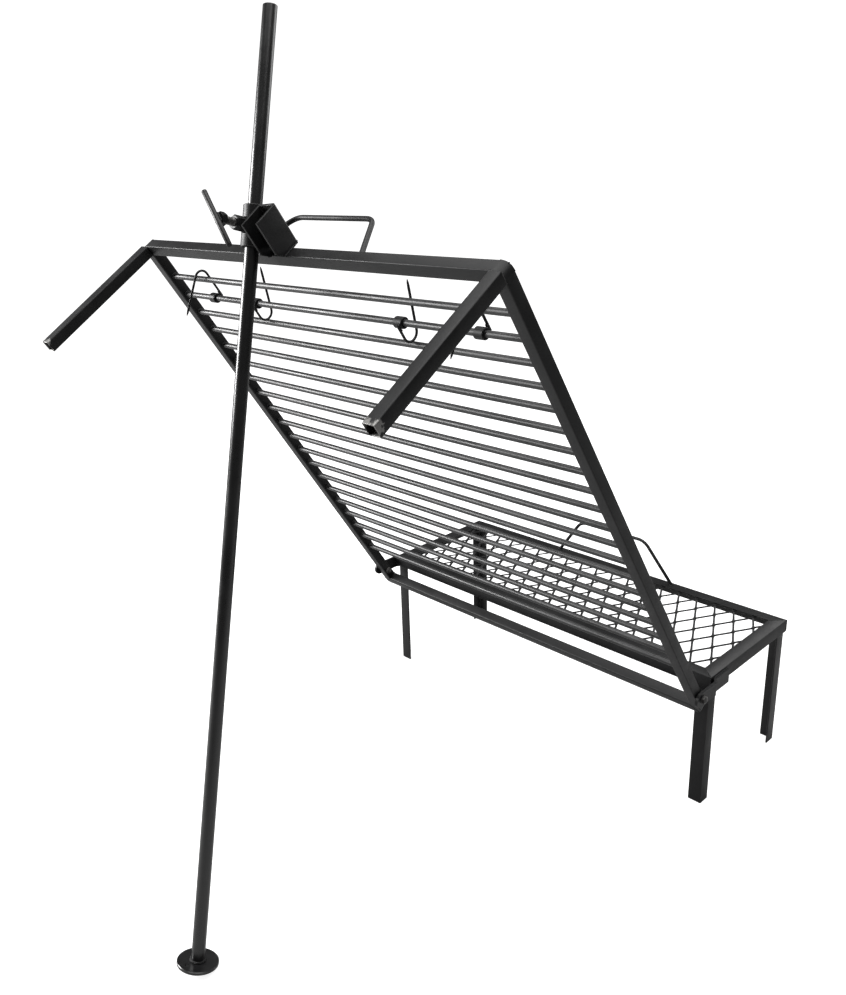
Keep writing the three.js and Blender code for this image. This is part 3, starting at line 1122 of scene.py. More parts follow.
    def _handle(self) -> None:
        """Bent-rod handle standing on the rear rail."""
        low, high = (Vector(p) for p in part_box("grate_handle"))
        y = (low.y + high.y) / 2
        r = self.handle_radius
        top = high.z - r
        self.feet = [Vector((low.x + r, y, self.top)), Vector((high.x - r, y, self.top))]
        left_run, right_run = self.handle_runs
        near = Vector((self.feet[0].x + left_run, y, top))
        far = Vector((self.feet[1].x - right_run, y, top))
        corners = [self.feet[0], near, far, self.feet[1]]
        path = rounded_corners(corners, self.handle_bend, 10)
        shape = Shape()
        shape.sweep(path, [r] * len(path), 16)
        made = shape.build("grate_handle_rod")
        publish(made, self.paint, self.body, ["grate_handle"])

    def _welds(self) -> None:
        """Beads at the mitres, the legs, the mesh edges and the handle's feet."""
        paths = []
        edge = self.leg_width
        for x, sx in ((self.left, 1), (self.right, -1)):
            for y, sy in ((self.front, 1), (self.back, -1)):
                outer = Vector((x + sx * 0.002, y + sy * 0.002, self.top - 0.0006))
                inner = Vector((x + sx * edge * 0.9, y + sy * edge * 0.9, self.top - 0.0006))
                paths.append(line_path(outer, inner))
                drop = Vector((0, 0, -0.021))
                post = Vector((x + sx * 0.0006, y + sy * 0.0006, self.top - 0.001))
                paths.append(line_path(post, post + drop))
                foot = self.top - edge
                near = Vector((x + sx * 0.004, y + sy * 0.0036, foot))
                paths.append(line_path(near, near + Vector((sx * 0.02, 0, 0))))
                near = Vector((x + sx * 0.0036, y + sy * 0.004, foot))
                paths.append(line_path(near, near + Vector((0, sy * 0.02, 0))))
        self.welder.lay("grate_corner_welds", self.body, paths, 0.0014)
        spots = []
        below = self.top - self.wall - 0.0008
        for i in range(19):
            x = self.left + 0.04 + i * 0.0395
            for y in (self.front + 0.0245, self.back - 0.0245):
                spots.append(line_path(Vector((x, y, below)), Vector((x + 0.007, y, below))))
        self.welder.lay("grate_mesh_welds", self.body, spots, 0.0013)
        around = self.handle_radius + 0.0006
        feet = [ring_path(foot, Vector((0, 0, 1)), around) for foot in self.feet]
        self.welder.lay("grate_handle_welds", self.body, feet, 0.0015)


# ---- hinge between grate and panel ------------------------------------------------


@dataclass
class HingePair:
    """Cranked lugs welded to the grate, and the bolts that the panel turns on."""

    paint: bpy.types.Material
    steel: bpy.types.Material
    welder: Welder
    nose: float = 0.013
    crank: float = 0.0057
    crank_run: float = 0.0108
    flats: float = 0.013
    shank: float = 0.004
    body: str = Body.GRATE.value

    def build(self) -> None:
        """Makes both sides."""
        paths = []
        for side, sign in (("left", -1), ("right", 1)):
            self._lug(side, sign)
            self._bolt(side, sign)
            low, high = (Vector(p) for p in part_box(f"hinge_lug_{side}"))
            inner = max(abs(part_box(f"{side}_rail")[0][0]), abs(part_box(f"{side}_rail")[1][0]))
            x = sign * (inner + 0.0006)
            for z in (high.z, low.z + 0.0012):
                start = Vector((x, high.y - 0.001, z))
                paths.append(line_path(start, start - Vector((0, 0.044, 0))))
            paths.append(line_path(Vector((x, high.y, low.z)), Vector((x, high.y, high.z))))
        self.welder.lay("hinge_lug_welds", self.body, paths, 0.0017)

    def _lug(self, side: str, sign: int) -> None:
        """One strap, bent outward past the panel and rounded at its front end.

        Args:
            side: "left" or "right".
            sign: -1 on the left, 1 on the right.
        """
        node = f"hinge_lug_{side}"
        low, high = (Vector(p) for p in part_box(node))
        outer = max(abs(low.x), abs(high.x))
        inner = min(abs(low.x), abs(high.x))
        crank = self.crank
        thick = outer - inner - crank
        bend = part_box("front_rail")[0][1]
        middle_z, half = (low.z + high.z) / 2, (high.z - low.z) / 2
        bm = bmesh.new()
        rings = []
        stations = [low.y + self.nose * (1 - math.cos(i / 10 * math.pi / 2)) for i in range(11)]
        stations += [bend - 0.001 + 0.0012 * i for i in range(11)] + [high.y]
        for y in stations:
            ahead = max(0.0, low.y + self.nose - y) / self.nose
            reach = half * math.sqrt(max(1 - ahead * ahead, 0.0)) + 0.0001
            share = min(max((y - bend) / self.crank_run, 0.0), 1.0)
            shift = crank * (1 - share * share * (3 - 2 * share))
            x0, x1 = sign * (inner + shift), sign * (inner + shift + thick)
            ring = [(x0, middle_z - reach), (x1, middle_z - reach)]
            ring += [(x1, middle_z + reach), (x0, middle_z + reach)]
            rings.append([bm.verts.new((x, y, z)) for x, z in ring])
        for first, second in zip(rings, rings[1:]):
            for i in range(4):
                j = (i + 1) % 4
                bm.faces.new((first[i], first[j], second[j], second[i]))
        bm.faces.new(list(reversed(rings[0])))
        bm.faces.new(rings[-1])
        made = Shape(bm).build(f"hinge_strap_{side}", 30)
        publish(made, self.paint, self.body, [node], 0.0006)

    def _bolt(self, side: str, sign: int) -> None:
        """Hexagon bolt with a washer outside and a thin nut inside.

        Args:
            side: "left" or "right".
            sign: -1 on the left, 1 on the right.
        """
        node = f"hinge_bolt_{side}"
        low, high = (Vector(p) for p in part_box(node))
        spot = middle(node)
        tip = min(abs(low.x), abs(high.x))
        crown = max(abs(low.x), abs(high.x))
        x, y = Vector((0, sign, 0)), Vector((0, 0, 1))
        axes = Axes(Vector((sign * tip, spot.y, spot.z)), x, y, Vector((sign, 0, 0)))
        place = axes.matrix()
        length = crown - tip
        r = self.shank
        shape = Shape()
        reach = length - 0.002
        shank = [(0.0, 0.0), (r * 0.8, 0.0), (r, 0.0006), (r, reach), (0.0, reach)]
        shape.lathe(shank, place, 28)
        washer = length - 0.0055
        rim = self.flats / 2 + 0.0009
        ring = [(r, washer), (rim, washer), (rim, washer + 0.0012), (r, washer + 0.0012)]
        shape.lathe(ring, place, 36)
        head = place @ Matrix.Translation((0, 0, washer + 0.0012))
        shape.hexagon(self.flats, 0.0043, 0.0, head)
        shape.hexagon(self.flats, 0.003, r, place @ Matrix.Translation((0, 0, 0.0004)))
        publish(shape.build(f"hinge_bolt_{side}_hex"), self.steel, self.body, [node])


# ---- barred panel ---------------------------------------------------------------


@dataclass
class BarredPanel:
    """Square-tube frame with round bars, arms, a handle and the clamp's bracket."""

    paint: bpy.types.Material
    bar_paint: bpy.types.Material
    welder: Welder
    axes: Axes
    tube: float = 0.020
    tube_wall: float = 0.0015
    tube_corner: float = 0.0024
    ground_corner: float = 0.016
    channel_sides: Point2 = (0.0193, 0.0543)
    channel_depth: Point2 = (-0.031, 0.015)
    channel_wall: float = 0.004
    channel_bite: float = 0.012
    channel_top: float = 0.026
    channel_corner: float = 0.0045
    half_width: float = 0.400
    top: float = 0.9549
    bottom: float = -0.0416
    arm_length: float = 0.242
    bar_radius: float = 0.005
    bar_count: int = 20
    handle_radius: float = 0.004
    handle_feet: Point2 = (-0.112, 0.142)
    handle_bends: Point2 = (-0.0705, 0.100)
    handle_depth: float = 0.088
    seam: float = 0.0001
    body: str = Body.PANEL.value
    paths: list = field(default_factory=list)

    def build(self) -> None:
        """Makes every piece of the panel."""
        self._rails()
        self._corner_caps()
        self._arms()
        self._bars()
        self._handle()
        self._bracket()
        self._welds()

    def _tube_outlines(self) -> tuple[list[Point2], list[Point2]]:
        """Outer and inner outline of the square tube."""
        half = self.tube / 2
        inner = half - self.tube_wall
        outer_line = rounded_square(half, self.tube_corner)
        inner_line = rounded_square(inner, 0.001)
        meet = self.ground_corner * (1 - math.sqrt(0.5)) - half
        per_corner = len(outer_line) // 4
        for outline, reach in ((outer_line, half), (inner_line, inner)):
            outline[3 * per_corner : 3 * per_corner] = [(meet - 0.0012, -reach), (meet, -reach)]
            outline[per_corner:per_corner] = [(meet, reach), (meet - 0.0012, reach)]
        return outer_line, inner_line

    def _corner_caps(self) -> None:
        """Bent strips that close the ground corners of the frame."""
        a = self.axes
        r, half = self.ground_corner, self.tube / 2
        wall = self.tube_wall
        shape = Shape()
        for sx in (-1, 1):
            for z, sz in ((self.top, -1), (self.bottom, 1)):
                centre = a.at(sx * (self.half_width - r), -half + 0.0001, z + sz * r)
                outline: list[Point2] = []
                turns = [i / 10 * math.pi / 2 for i in range(11)]
                outline += [(r * math.cos(v), r * math.sin(v)) for v in turns]
                bore = r - wall
                outline += [(bore * math.cos(v), bore * math.sin(v)) for v in turns[::-1]]
                place = Axes(centre, a.x * sx, -a.z * sz, a.y).matrix()
                width = self.tube - 0.0002
                shape.prism(outline, (), (lambda x, y: 0.0, lambda x, y: width), place)
        made = shape.build("panel_corner_caps", 30)
        publish(made, self.paint, self.body, (), 0.0006)

    def _rails(self) -> None:
        """Two side rails and two cross rails, mitred at the corners."""
        a = self.axes
        half = self.tube / 2
        side = self.half_width - half
        high = self.top - self.bottom
        wide = 2 * self.half_width
        rails = {
            "side_rail_left": (a.at(-side, 0, self.bottom), a.x, a.y, a.z, high),
            "side_rail_right": (a.at(side, 0, self.bottom), -a.x, -a.y, a.z, high),
            "top_rail": (a.at(-self.half_width, 0, self.top - half), -a.z, a.y, a.x, wide),
            "bottom_rail": (a.at(-self.half_width, 0, self.bottom + half), a.z, -a.y, a.x, wide),
        }
        outer, inner = self._tube_outlines()
        for node, (origin, x, y, z, length) in rails.items():
            shape = Shape()
            ends = (
                lambda px, py: self._mitre(px + half),
                lambda px, py, n=length: n - self._mitre(px + half),
            )
            shape.prism(outer, inner, ends, Axes(origin, x, y, z).matrix())
            publish(shape.build("panel_" + node), self.paint, self.body, [node])

    def _mitre(self, depth: float) -> float:
        """Length cut off a mitred end, whose outer corner is ground round.

        Args:
            depth: Distance from the tube's outer face.

        Returns:
            Distance from the frame's corner.
        """
        r = self.ground_corner
        away = max(r - depth, 0.0)
        return max(depth, r - math.sqrt(max(r * r - away * away, 0.0))) + self.seam

    def _arms(self) -> None:
        """Two open-ended tubes under the top corners."""
        a = self.axes
        half = self.tube / 2
        outer, inner = self._tube_outlines()
        for node, sign in (("arm_left", -1), ("arm_right", 1)):
            origin = a.at(sign * (self.half_width - half), -half, self.top - half)
            shape = Shape()
            ends = (lambda x, y: 0.0003, lambda x, y: self.arm_length + 0.0003)
            shape.prism(outer, inner, ends, Axes(origin, a.x, a.z, -a.y).matrix())
            made = shape.build("panel_" + node)
            publish(made, self.paint, self.body, [node], 0.0004)

    def _bars(self) -> None:
        """Round bars between the side rails."""
        first, last = middle("bar_01"), middle(f"bar_{self.bar_count:02d}")
        step = (last - first) / (self.bar_count - 1)
        half = self.half_width - self.tube
        ends = [first - self.axes.x * half, first + self.axes.x * half]
        values = {
            "Count": self.bar_count,
            "Step": step,
            "Radius": self.bar_radius,
            "Material": self.bar_paint,
        }
        mesh = ladder_tree().grow("panel_bars", polylines([ends]), values)
        nodes = [f"bar_{i + 1:02d}" for i in range(self.bar_count)]
        made = shaded_object("panel_bars", mesh, 40)
        publish(made, self.bar_paint, self.body, nodes)
        for i in range(self.bar_count):
            for end in ends:
                inward = (first - end).normalized() * 0.0006
                spot = end + step * i + inward
                self.paths.append(ring_path(spot, self.axes.x, self.bar_radius + 0.0003, 16))

    def _handle(self) -> None:
        """Bent-rod handle behind the top rail."""
        a = self.axes
        height = self.top - self.tube / 2
        foot = self.tube / 2
        self.feet = [a.at(x, foot, height) for x in self.handle_feet]
        bends = [a.at(x, self.handle_depth, height) for x in self.handle_bends]
        path = rounded_corners([self.feet[0], bends[0], bends[1], self.feet[1]], 0.015, 10)
        shape = Shape()
        shape.sweep(path, [self.handle_radius] * len(path), 18)
        made = shape.build("panel_handle_rod")
        publish(made, self.paint, self.body, ["top_handle"])

    def _bracket(self) -> None:
        """U-channel that carries the clamp's pivot."""
        pivot = Vector(joint("clamp_swing")["axis"]).normalized()
        up = self.axes.z
        axes = Axes(Vector(joint("clamp_swing")["pos_m"]), pivot, up.cross(pivot), up)
        left, right = self.channel_sides
        front, back = self.channel_depth
        wall, bite = self.channel_wall, self.channel_bite
        low = self.top - (axes.origin - self.axes.origin).dot(up)
        high = self.channel_top
        curve = self.channel_corner
        outline: list[Point2] = [(left, front), (left + wall, front), (left + wall, front + bite)]
        outline += [(left + wall, back - wall - 0.001), (left + wall + 0.001, back - wall)]
        outline += [(right - wall - 0.001, back - wall), (right - wall, back - wall - 0.001)]
        outline += [(right - wall, front + bite), (right - wall, front), (right, front)]
        outline += [(right, front + bite)]
        for cx, quarter in ((right - curve, 0), (left + curve, 1)):
            for i in range(7):
                v = (quarter + i / 6) * math.pi / 2
                outline.append((cx + curve * math.cos(v), back - curve + curve * math.sin(v)))
        outline.append((left, front + bite))
        shape = Shape()
        ends = (lambda x, y: low + max(0.0, bite - (y - front)), lambda x, y: high)
        shape.prism(outline, (), ends, axes.matrix())
        made = shape.build("clamp_bracket", 32)
        publish(made, self.paint, self.body, ["clamp_channel"], 0.0006)
        foot = low + 0.0004
        self.bracket_paths = []
        for x in (left - 0.0004, right + 0.0004):
            start = axes.at(x, front + bite, foot)
            self.bracket_paths.append(line_path(start, axes.at(x, back - 0.004, foot)))
        start = axes.at(left + 0.004, back, foot)
        self.bracket_paths.append(line_path(start, axes.at(right - 0.004, back, foot)))

    def _welds(self) -> None:
        """Beads at the bars, the mitres, the arms, the handle and the bracket."""
        a = self.axes
        self.welder.lay("panel_bar_welds", self.body, self.paths, 0.0013)
        half = self.tube / 2
        round_off = self.ground_corner * (1 - math.sqrt(0.5))
        seams = []
        for sx in (-1, 1):
            for z, sz in ((self.top, -1), (self.bottom, 1)):
                for y in (-half, half):
                    outer = a.at(sx * (self.half_width - round_off), y * 0.97, z + sz * round_off)
                    inner = a.at(sx * (self.half_width - self.tube), y * 0.97, z + sz * self.tube)
                    seams.append(line_path(outer, inner))
            cx, cz = sx * (self.half_width - half), self.top - half
            square = [(-1, -1), (1, -1), (1, 1), (-1, 1), (-1, -1)]
            reach = half - 0.0012
            face = -half - 0.0004
            seams.append([a.at(cx + px * reach, face, cz + pz * reach) for px, pz in square])
        self.welder.lay("panel_frame_welds", self.body, seams, 0.0011)
        rings = [ring_path(foot, a.y, self.handle_radius + 0.0008) for foot in self.feet]
        self.welder.lay("panel_handle_welds", self.body, rings + self.bracket_paths, 0.0017)


# ---- clamp and pole ---------------------------------------------------------------


@dataclass
class ScrewClamp:
    """Pipe sleeve on a pivot, with a screw that grips the pole."""

    paint: bpy.types.Material
    steel: bpy.types.Material
    welder: Welder
    axes: Axes
    outer: float = 0.01685
    inner: float = 0.0135
    length: float = 0.060
    boss_flats: float = 0.019
    boss_length: float = 0.020
    screw_radius: float = 0.006
    screw_tip: float = 0.01095
    screw_end: float = 0.054
    head_flats: float = 0.018
    head_length: float = 0.009
    tee_radius: float = 0.004
    tee_length: float = 0.102
    tee_angle: float = 40.0
    gap: float = 0.0003

    def build(self) -> None:
        """Makes the sleeve, the pivot and the screw."""
        self._sleeve()
        self._pivot()
        self._screw()
        self._tee()
        self._welds()

    def _outward(self) -> Axes:
        """Frame whose Z points out along the screw."""
        a = self.axes
        return Axes(a.origin, a.x, a.z, -a.y)

    def _sleeve(self) -> None:
        """Pipe sleeve with turned edges, and the long nut on its side."""
        half, edge = self.length / 2, 0.0008
        profile = [
            (self.inner + edge, -half),
            (self.outer - edge, -half),
            (self.outer, -half + edge),
            (self.outer, half - edge),
            (self.outer - edge, half),
            (self.inner + edge, half),
            (self.inner, half - edge),
            (self.inner, -half + edge),
        ]
        shape = Shape()
        shape.lathe(profile, self.axes.matrix(), 48)
        body = Body.CLAMP.value
        publish(shape.build("clamp_sleeve"), self.paint, body, ["sleeve"])
        boss = Shape()
        place = self._outward().matrix() @ Matrix.Translation((0, 0, self.outer - 0.0006))
        bore = self.screw_radius + self.gap
        boss.hexagon(self.boss_flats, self.boss_length + 0.0009, bore, place)
        publish(boss.build("clamp_long_nut", 28), self.paint, body, ["screw_boss"])

    def _pivot(self) -> None:
        """Pivot stud with its shoulder and nut."""
        a = self.axes
        along = Axes(a.origin, a.y, a.z, a.x).matrix()
        start = self.outer - 0.0004
        r = self.screw_radius
        shape = Shape()
        shoulder = [(0.0, 0.0), (0.0085, 0.0), (0.009, 0.0005), (0.009, 0.0021), (r, 0.0021)]
        stub = shoulder + [(r, 0.006), (0.0, 0.006)]
        shape.lathe(stub, along @ Matrix.Translation((0, 0, start)))
        shape.thread(r, 0.00175, 0.0147, along @ Matrix.Translation((0, 0, start + 0.0058)))
        body = Body.CLAMP.value
        publish(shape.build("pivot_stud"), self.steel, body, ["pivot_pin"])
        nut = Shape()
        nut.hexagon(0.018, 0.010, r * 0.97, along @ Matrix.Translation((0, 0, 0.0236)))
        publish(nut.build("pivot_hex_nut", 28), self.steel, body, ["pivot_nut"])

    def _screw(self) -> None:
        """Threaded clamp screw with a turned tip."""
        out = self._outward().matrix()
        r = self.screw_radius
        tip = self.screw_tip
        shape = Shape()
        nose = [(0.0, tip), (r * 0.66, tip), (r * 0.78, tip + 0.0006), (r * 0.78, tip + 0.004)]
        shape.lathe(nose + [(0.0, tip + 0.004)], out, 28)
        start = tip + 0.0035
        length = self.screw_end - start + 0.0002
        shape.thread(r, 0.00175, length, out @ Matrix.Translation((0, 0, start)))
        body = Body.SCREW.value
        publish(shape.build("clamp_screw_thread"), self.steel, body, ["clamp_screw"])

    def _tee(self) -> None:
        """Hexagon head and the bar welded across it."""
        out = self._outward()
        place = out.matrix() @ Matrix.Translation((0, 0, self.screw_end + self.gap))
        head = Shape()
        head.hexagon(self.head_flats, self.head_length, 0.0, place)
        body = Body.TEE.value
        publish(head.build("tee_hex_head", 28), self.paint, body, ["tee_head"])
        turn = math.radians(self.tee_angle)
        along = self.axes.z * math.cos(turn) - self.axes.x * math.sin(turn)
        self.tee_height = self.screw_end + 2 * self.gap + self.head_length + self.tee_radius
        centre = out.at(0, 0, self.tee_height)
        half = self.tee_length / 2
        steps = [-1.0, -0.993, -0.985, 0.985, 0.993, 1.0]
        radii = [self.tee_radius * k for k in (0.72, 0.93, 1.0, 1.0, 0.93, 0.72)]
        bar = Shape()
        bar.sweep([centre + along * half * s for s in steps], radii, 20)
        publish(bar.build("tee_cross_bar"), self.paint, body, ["tee_bar"])
        side = along.cross(out.z).normalized()
        base = out.at(0, 0, self.tee_height - self.tee_radius)
        beads = []
        for sign in (-1, 1):
            near = base + side * sign * (self.tee_radius * 0.75) + out.z * 0.0006
            beads.append(line_path(near - along * 0.007, near + along * 0.007))
        self.welder.lay("tee_head_welds", body, beads, 0.0017)

    def _welds(self) -> None:
        """Beads round the long nut and the pivot's shoulder."""
        a, out = self.axes, self._outward()
        around = []
        ring = 0.0104
        for i in range(25):
            angle = 2 * math.pi * i / 24
            x = ring * math.cos(angle)
            depth = math.sqrt(self.outer**2 - x * x)
            around.append(out.at(x, ring * math.sin(angle), depth + 0.0004))
        stud = []
        for i in range(25):
            angle = 2 * math.pi * i / 24
            y = 0.0094 * math.cos(angle)
            reach = math.sqrt(self.outer**2 - y * y)
            out_to = max(reach, self.outer - 0.0022) + 0.0002
            stud.append(a.at(out_to, y, 0.0094 * math.sin(angle)))
        self.welder.lay("clamp_sleeve_welds", Body.CLAMP.value, [around, stud], 0.0017)


@dataclass
class PropPole:
    """Long pipe with a round foot plate."""

    paint: bpy.types.Material
    welder: Welder
    axes: Axes
    radius: float = 0.01065
    bore: float = 0.008
    below: float = 1.1146
    above: float = 0.308
    plate_radius: float = 0.0325
    plate_thickness: float = 0.005
    hole_radius: float = 0.0032
    hole_offset: float = 0.021
    gap: float = 0.0003
    body: str = Body.POLE.value

    def build(self) -> None:
        """Makes the pipe, its plate and the weld between them."""
        edge = 0.0012
        profile = [(self.bore, -self.below), (self.radius, -self.below)]
        profile += [(self.radius, -self.below + 0.3 * i) for i in range(1, 4)]
        profile += [(self.radius, self.above - edge)]
        for i in range(1, 5):
            v = i / 4 * math.pi / 2
            inset = edge * (1 - math.cos(v))
            profile.append((self.radius - inset, self.above - edge + edge * math.sin(v)))
        profile += [(self.bore + 0.0002, self.above), (self.bore, self.above - 0.0004)]
        pipe = Shape()
        pipe.lathe(profile, self.axes.matrix(), 40)
        publish(pipe.build("prop_pole_pipe"), self.paint, self.body, ["pole"])
        self._plate()
        level = self.axes.at(0, 0, -self.below + 0.0004)
        rings = [ring_path(level, self.axes.z, self.radius + 0.0006, 32)]
        upper = level + self.axes.z * 0.001
        rings.append(ring_path(upper, self.axes.z, self.radius + 0.0001, 32))
        self.welder.lay("pole_foot_weld", self.body, rings, 0.0019)

    def _plate(self) -> None:
        """Round plate with turned edges and one drilled hole."""
        top = -self.below - self.gap
        low = top - self.plate_thickness
        count = 64
        edge = 0.0007
        bm = bmesh.new()
        loops = []
        rows = [(self.plate_radius - edge, low), (self.plate_radius, low + edge)]
        rows += [(self.plate_radius, top - edge), (self.plate_radius - edge, top)]
        for radius, height in rows:
            turns = [2 * math.pi * i / count for i in range(count)]
            spots = [
                self.axes.at(radius * math.cos(a), radius * math.sin(a), height) for a in turns
            ]
            loops.append([bm.verts.new(p) for p in spots])
        holes = []
        for height in (low, top):
            turns = [2 * math.pi * i / 20 for i in range(20)]
            r = self.hole_radius
            spots = [
                self.axes.at(r * math.cos(a), -self.hole_offset + r * math.sin(a), height)
                for a in turns
            ]
            holes.append([bm.verts.new(p) for p in spots])
        for first, second in [*zip(loops, loops[1:]), (holes[1], holes[0])]:
            for i in range(len(first)):
                j = (i + 1) % len(first)
                bm.faces.new((first[i], first[j], second[j], second[i]))
        for rim, hole in ((loops[0], holes[0]), (loops[-1], holes[1])):
            edges = []
            for ring in (rim, hole):
                for i, vert in enumerate(ring):
                    edges.append(bm.edges.get((vert, ring[(i + 1) % len(ring)])))
            bmesh.ops.triangle_fill(bm, edges=edges, use_beauty=True)
        made = Shape(bm).build("pole_foot_disc", 25)
        publish(made, self.paint, self.body, ["foot_plate"])


# ---- hooks ------------------------------------------------------------------------


class HookPose(Enum):
    """Which way a hook hangs from its bar."""

    BEHIND = "behind"
    OVER = "over"


@dataclass
class HangingHook:
    """Collar that slides on a bar, with a bent wire hook welded to it."""

    number: int
    pose: HookPose
    paint: bpy.types.Material
    welder: Welder
    panel: Axes
    stem: float = 0.020
    splay: float = 21.0
    leg: float = 0.073
    wire: float = 0.002
    bend: float = 0.0128
    outer: float = 0.0085
    inner: float = 0.006
    offset: float = 0.0108
    reach_back: float = 0.004

    def build(self) -> None:
        """Makes the collar, the wire and the weld between them."""
        a = self.panel
        spot = Vector(joint(f"hook_{self.number}_swing")["pos_m"])
        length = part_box(f"collar_{self.number}")[1][0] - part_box(f"collar_{self.number}")[0][0]
        half, edge = length / 2, 0.0008
        profile = [
            (self.inner, -half),
            (self.outer - edge, -half),
            (self.outer, -half + edge),
            (self.outer, half - edge),
            (self.outer - edge, half),
            (self.inner, half),
        ]
        collar = Shape()
        collar.lathe(profile, Axes(spot, a.y, a.z, a.x).matrix(), 36)
        name = f"hook_{self.number}_collar"
        body = f"collar_{self.number}"
        publish(collar.build(name), self.paint, body, [body])
        wire_x = middle(f"hook_{self.number}").x
        origin = Vector((wire_x, spot.y, spot.z))
        if self.pose is HookPose.OVER:
            axes = Axes(origin, a.z, -a.y, a.x)
        else:
            axes = Axes(origin, -a.z, a.y, a.x)
        self._wire(axes)

    def _wire(self, axes: Axes) -> None:
        """Bent wire: a short stem, a round bend and a long pointed leg."""
        turn = math.radians(180 - self.splay)
        path = [axes.at(-self.reach_back, -self.offset, 0)]
        centre = (self.stem, self.bend - self.offset)
        parts = 22
        for i in range(parts + 1):
            angle = -math.pi / 2 + turn * i / parts
            x = centre[0] + self.bend * math.cos(angle)
            y = centre[1] + self.bend * math.sin(angle)
            path.append(axes.at(x, y, 0))
        ahead = axes.x * math.cos(turn) + axes.y * math.sin(turn)
        end = path[-1]
        radii = [self.wire] * len(path)
        for share, radius in ((0.85, 1.0), (0.93, 0.8), (0.98, 0.42), (1.0, 0.12)):
            path.append(end + ahead * self.leg * share)
            radii.append(self.wire * radius)
        shape = Shape()
        shape.sweep(path, radii, 14)
        node = f"hook_{self.number}"
        publish(shape.build(node + "_wire"), self.paint, node, [node])
        bead = [axes.at(-self.reach_back, -self.offset + 0.0012, s) for s in (-0.0016, 0.0016)]
        lower = [axes.at(0.006, -self.offset + 0.0016, s) for s in (-0.0016, 0.0016)]
        beads = [line_path(bead[0], lower[0]), line_path(bead[1], lower[1])]
        self.welder.lay(node + "_weld", node, beads, 0.0012)


# ---- studio -----------------------------------------------------------------------


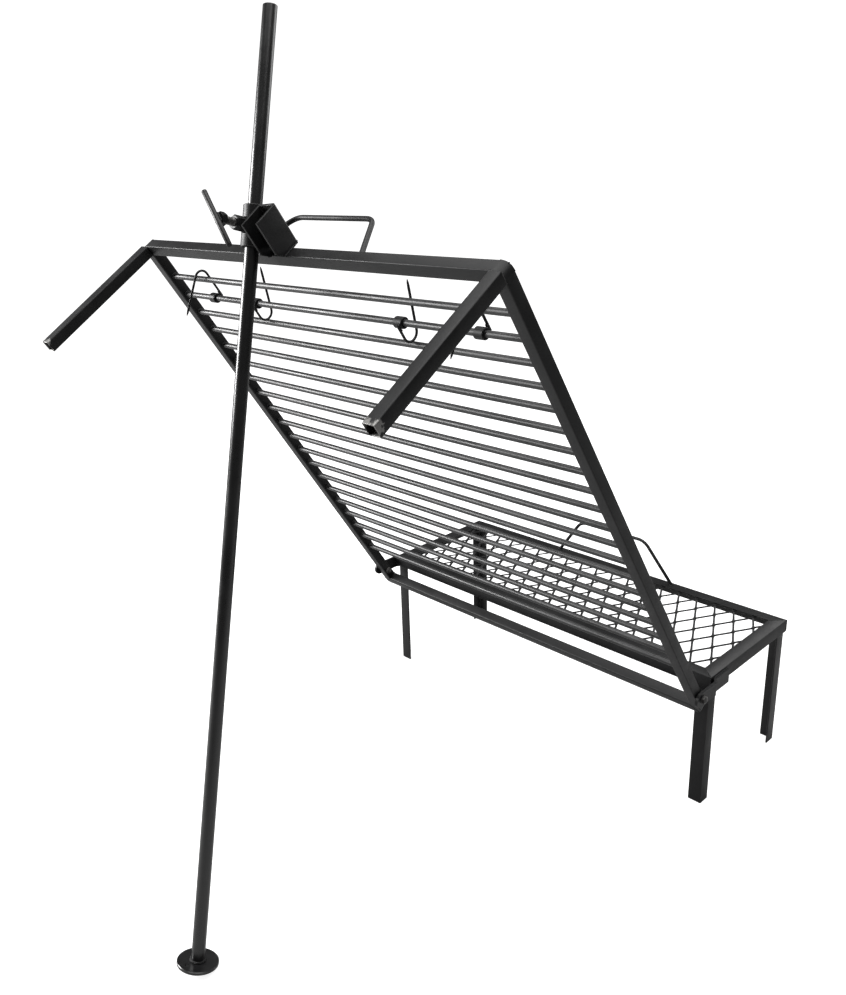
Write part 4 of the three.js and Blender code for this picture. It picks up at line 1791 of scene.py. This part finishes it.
@dataclass
class Studio:
    """Floor, light and camera."""

    camera_at: tuple[float, float, float] = (1.08253, -1.09267, 1.18043)
    right: Colour = (0.66214, 0.74748, -0.05326)
    up: Colour = (-0.20530, 0.24929, 0.94642)
    forward: Colour = (-0.72071, 0.61573, -0.31852)
    lens: float = 33.81
    shift: Point2 = (0.0751, -0.0305)
    floor_reach: float = 30.0
    floor_level: float = -0.0005
    aim: tuple[float, float, float] = (0.0, 0.0, 0.6)
    backdrop: float = 1.1
    ambient: float = 0.15

    def build(self) -> None:
        """Makes the studio."""
        self._floor()
        self._world()
        self._light("key", (-2.6, -2.0, 1.7), 1.3, 220.0)
        self._light("top", (0.3, 0.2, 4.2), 4.5, 260.0)
        self._light("rim", (0.6, 3.2, 2.2), 2.0, 45.0)
        self._camera()

    def _floor(self) -> None:
        """Wide pale floor under the object."""
        mesh = bpy.data.meshes.new("floor")
        size, level = self.floor_reach, self.floor_level
        corners = [(-size, -size), (size, -size), (size, size), (-size, size)]
        mesh.from_pydata([(x, y, level) for x, y in corners], [], [(0, 1, 2, 3)])
        floor = bpy.data.objects.new("floor", mesh)
        bpy.context.scene.collection.objects.link(floor)
        mesh.materials.append(StudioFloor().build())

    def _world(self) -> None:
        """Even white surroundings."""
        world = bpy.data.worlds.new("studio")
        world.use_nodes = True
        tree = world.node_tree
        tree.nodes.clear()
        graph = Graph(tree)
        seen = graph.value(graph.add("ShaderNodeLightPath"), "Is Camera Ray")
        strength = self.ambient + seen * (self.backdrop - self.ambient)
        light = graph.add(
            "ShaderNodeBackground", {}, {"Color": (1.0, 1.0, 1.0, 1.0), "Strength": strength}
        )
        graph.add("ShaderNodeOutputWorld", {}, {"Surface": light.outputs[0]})
        bpy.context.scene.world = world
        bpy.context.scene.view_settings.view_transform = "Standard"

    def _light(self, name: str, place: tuple, size: float, power: float) -> None:
        """One square softbox aimed at the middle of the object.

        Args:
            name: Name of the light.
            place: Where it stands.
            size: Length of its side.
            power: Its power in watts.
        """
        light = bpy.data.lights.new(name, "AREA")
        light.shape = "SQUARE"
        light.size = size
        light.energy = power
        lamp = bpy.data.objects.new(name, light)
        lamp.location = place
        aim = Vector(self.aim) - Vector(place)
        lamp.rotation_euler = aim.to_track_quat("-Z", "Y").to_euler()
        bpy.context.scene.collection.objects.link(lamp)

    def _camera(self) -> None:
        """Camera at the standing viewer's place."""
        data = bpy.data.cameras.new("camera")
        data.lens = self.lens
        data.sensor_width = 36.0
        data.shift_x, data.shift_y = self.shift
        data.clip_end = 100.0
        camera = bpy.data.objects.new("camera", data)
        bpy.context.scene.collection.objects.link(camera)
        axes = Axes(
            Vector(self.camera_at), Vector(self.right), Vector(self.up), -Vector(self.forward)
        )
        camera.matrix_world = axes.matrix()
        bpy.context.scene.camera = camera


# ---- whole object -------------------------------------------------------------------


def arm_chips(axes: Axes) -> tuple[Chip, ...]:
    """Worn spots at the arms' far ends."""
    chips = []
    for sign in (-1, 1):
        for x, z, reach in ((0.012, 0.004, 0.011), (-0.006, 0.01, 0.008), (0.002, -0.011, 0.009)):
            spot = axes.at(sign * 0.39 + x * sign, -0.252, 0.9449 + z)
            chips.append(Chip(tuple(spot), reach))
    return tuple(chips)


def main() -> None:
    """Builds every sub-assembly in order."""
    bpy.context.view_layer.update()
    panel = panel_axes()
    clamp = clamp_axes()
    frame_paint = Paint("frame_paint", chips=arm_chips(panel)).build()
    rod_dust = (0.03, 0.03, 0.031)
    bar_paint = Paint("bar_paint", roughness=0.32, dusty=rod_dust, specular=0.5).build()
    pole_paint = Paint("pole_paint", roughness=0.2, spread=0.1, specular=0.6).build()
    mesh_paint = Paint("mesh_paint", roughness=0.5, base=(0.009, 0.009, 0.0093)).build()
    weld_paint = Paint("weld_paint", roughness=0.34, grain_depth=0.0002).build()
    steel = BareSteel("blackened_steel").build()
    welder = Welder(weld_tree(), weld_paint)
    LowGrate(frame_paint, mesh_paint, welder).build()
    HingePair(frame_paint, steel, welder).build()
    BarredPanel(frame_paint, bar_paint, welder, panel).build()
    ScrewClamp(frame_paint, steel, welder, clamp).build()
    PropPole(pole_paint, welder, clamp).build()
    for number in (1, 4):
        HangingHook(number, HookPose.OVER, frame_paint, welder, panel, 0.045, 55.0, 0.068).build()
    for number in (2, 3):
        HangingHook(number, HookPose.BEHIND, frame_paint, welder, panel).build()
    Studio().build()


if __name__ == "__main__":
    main()
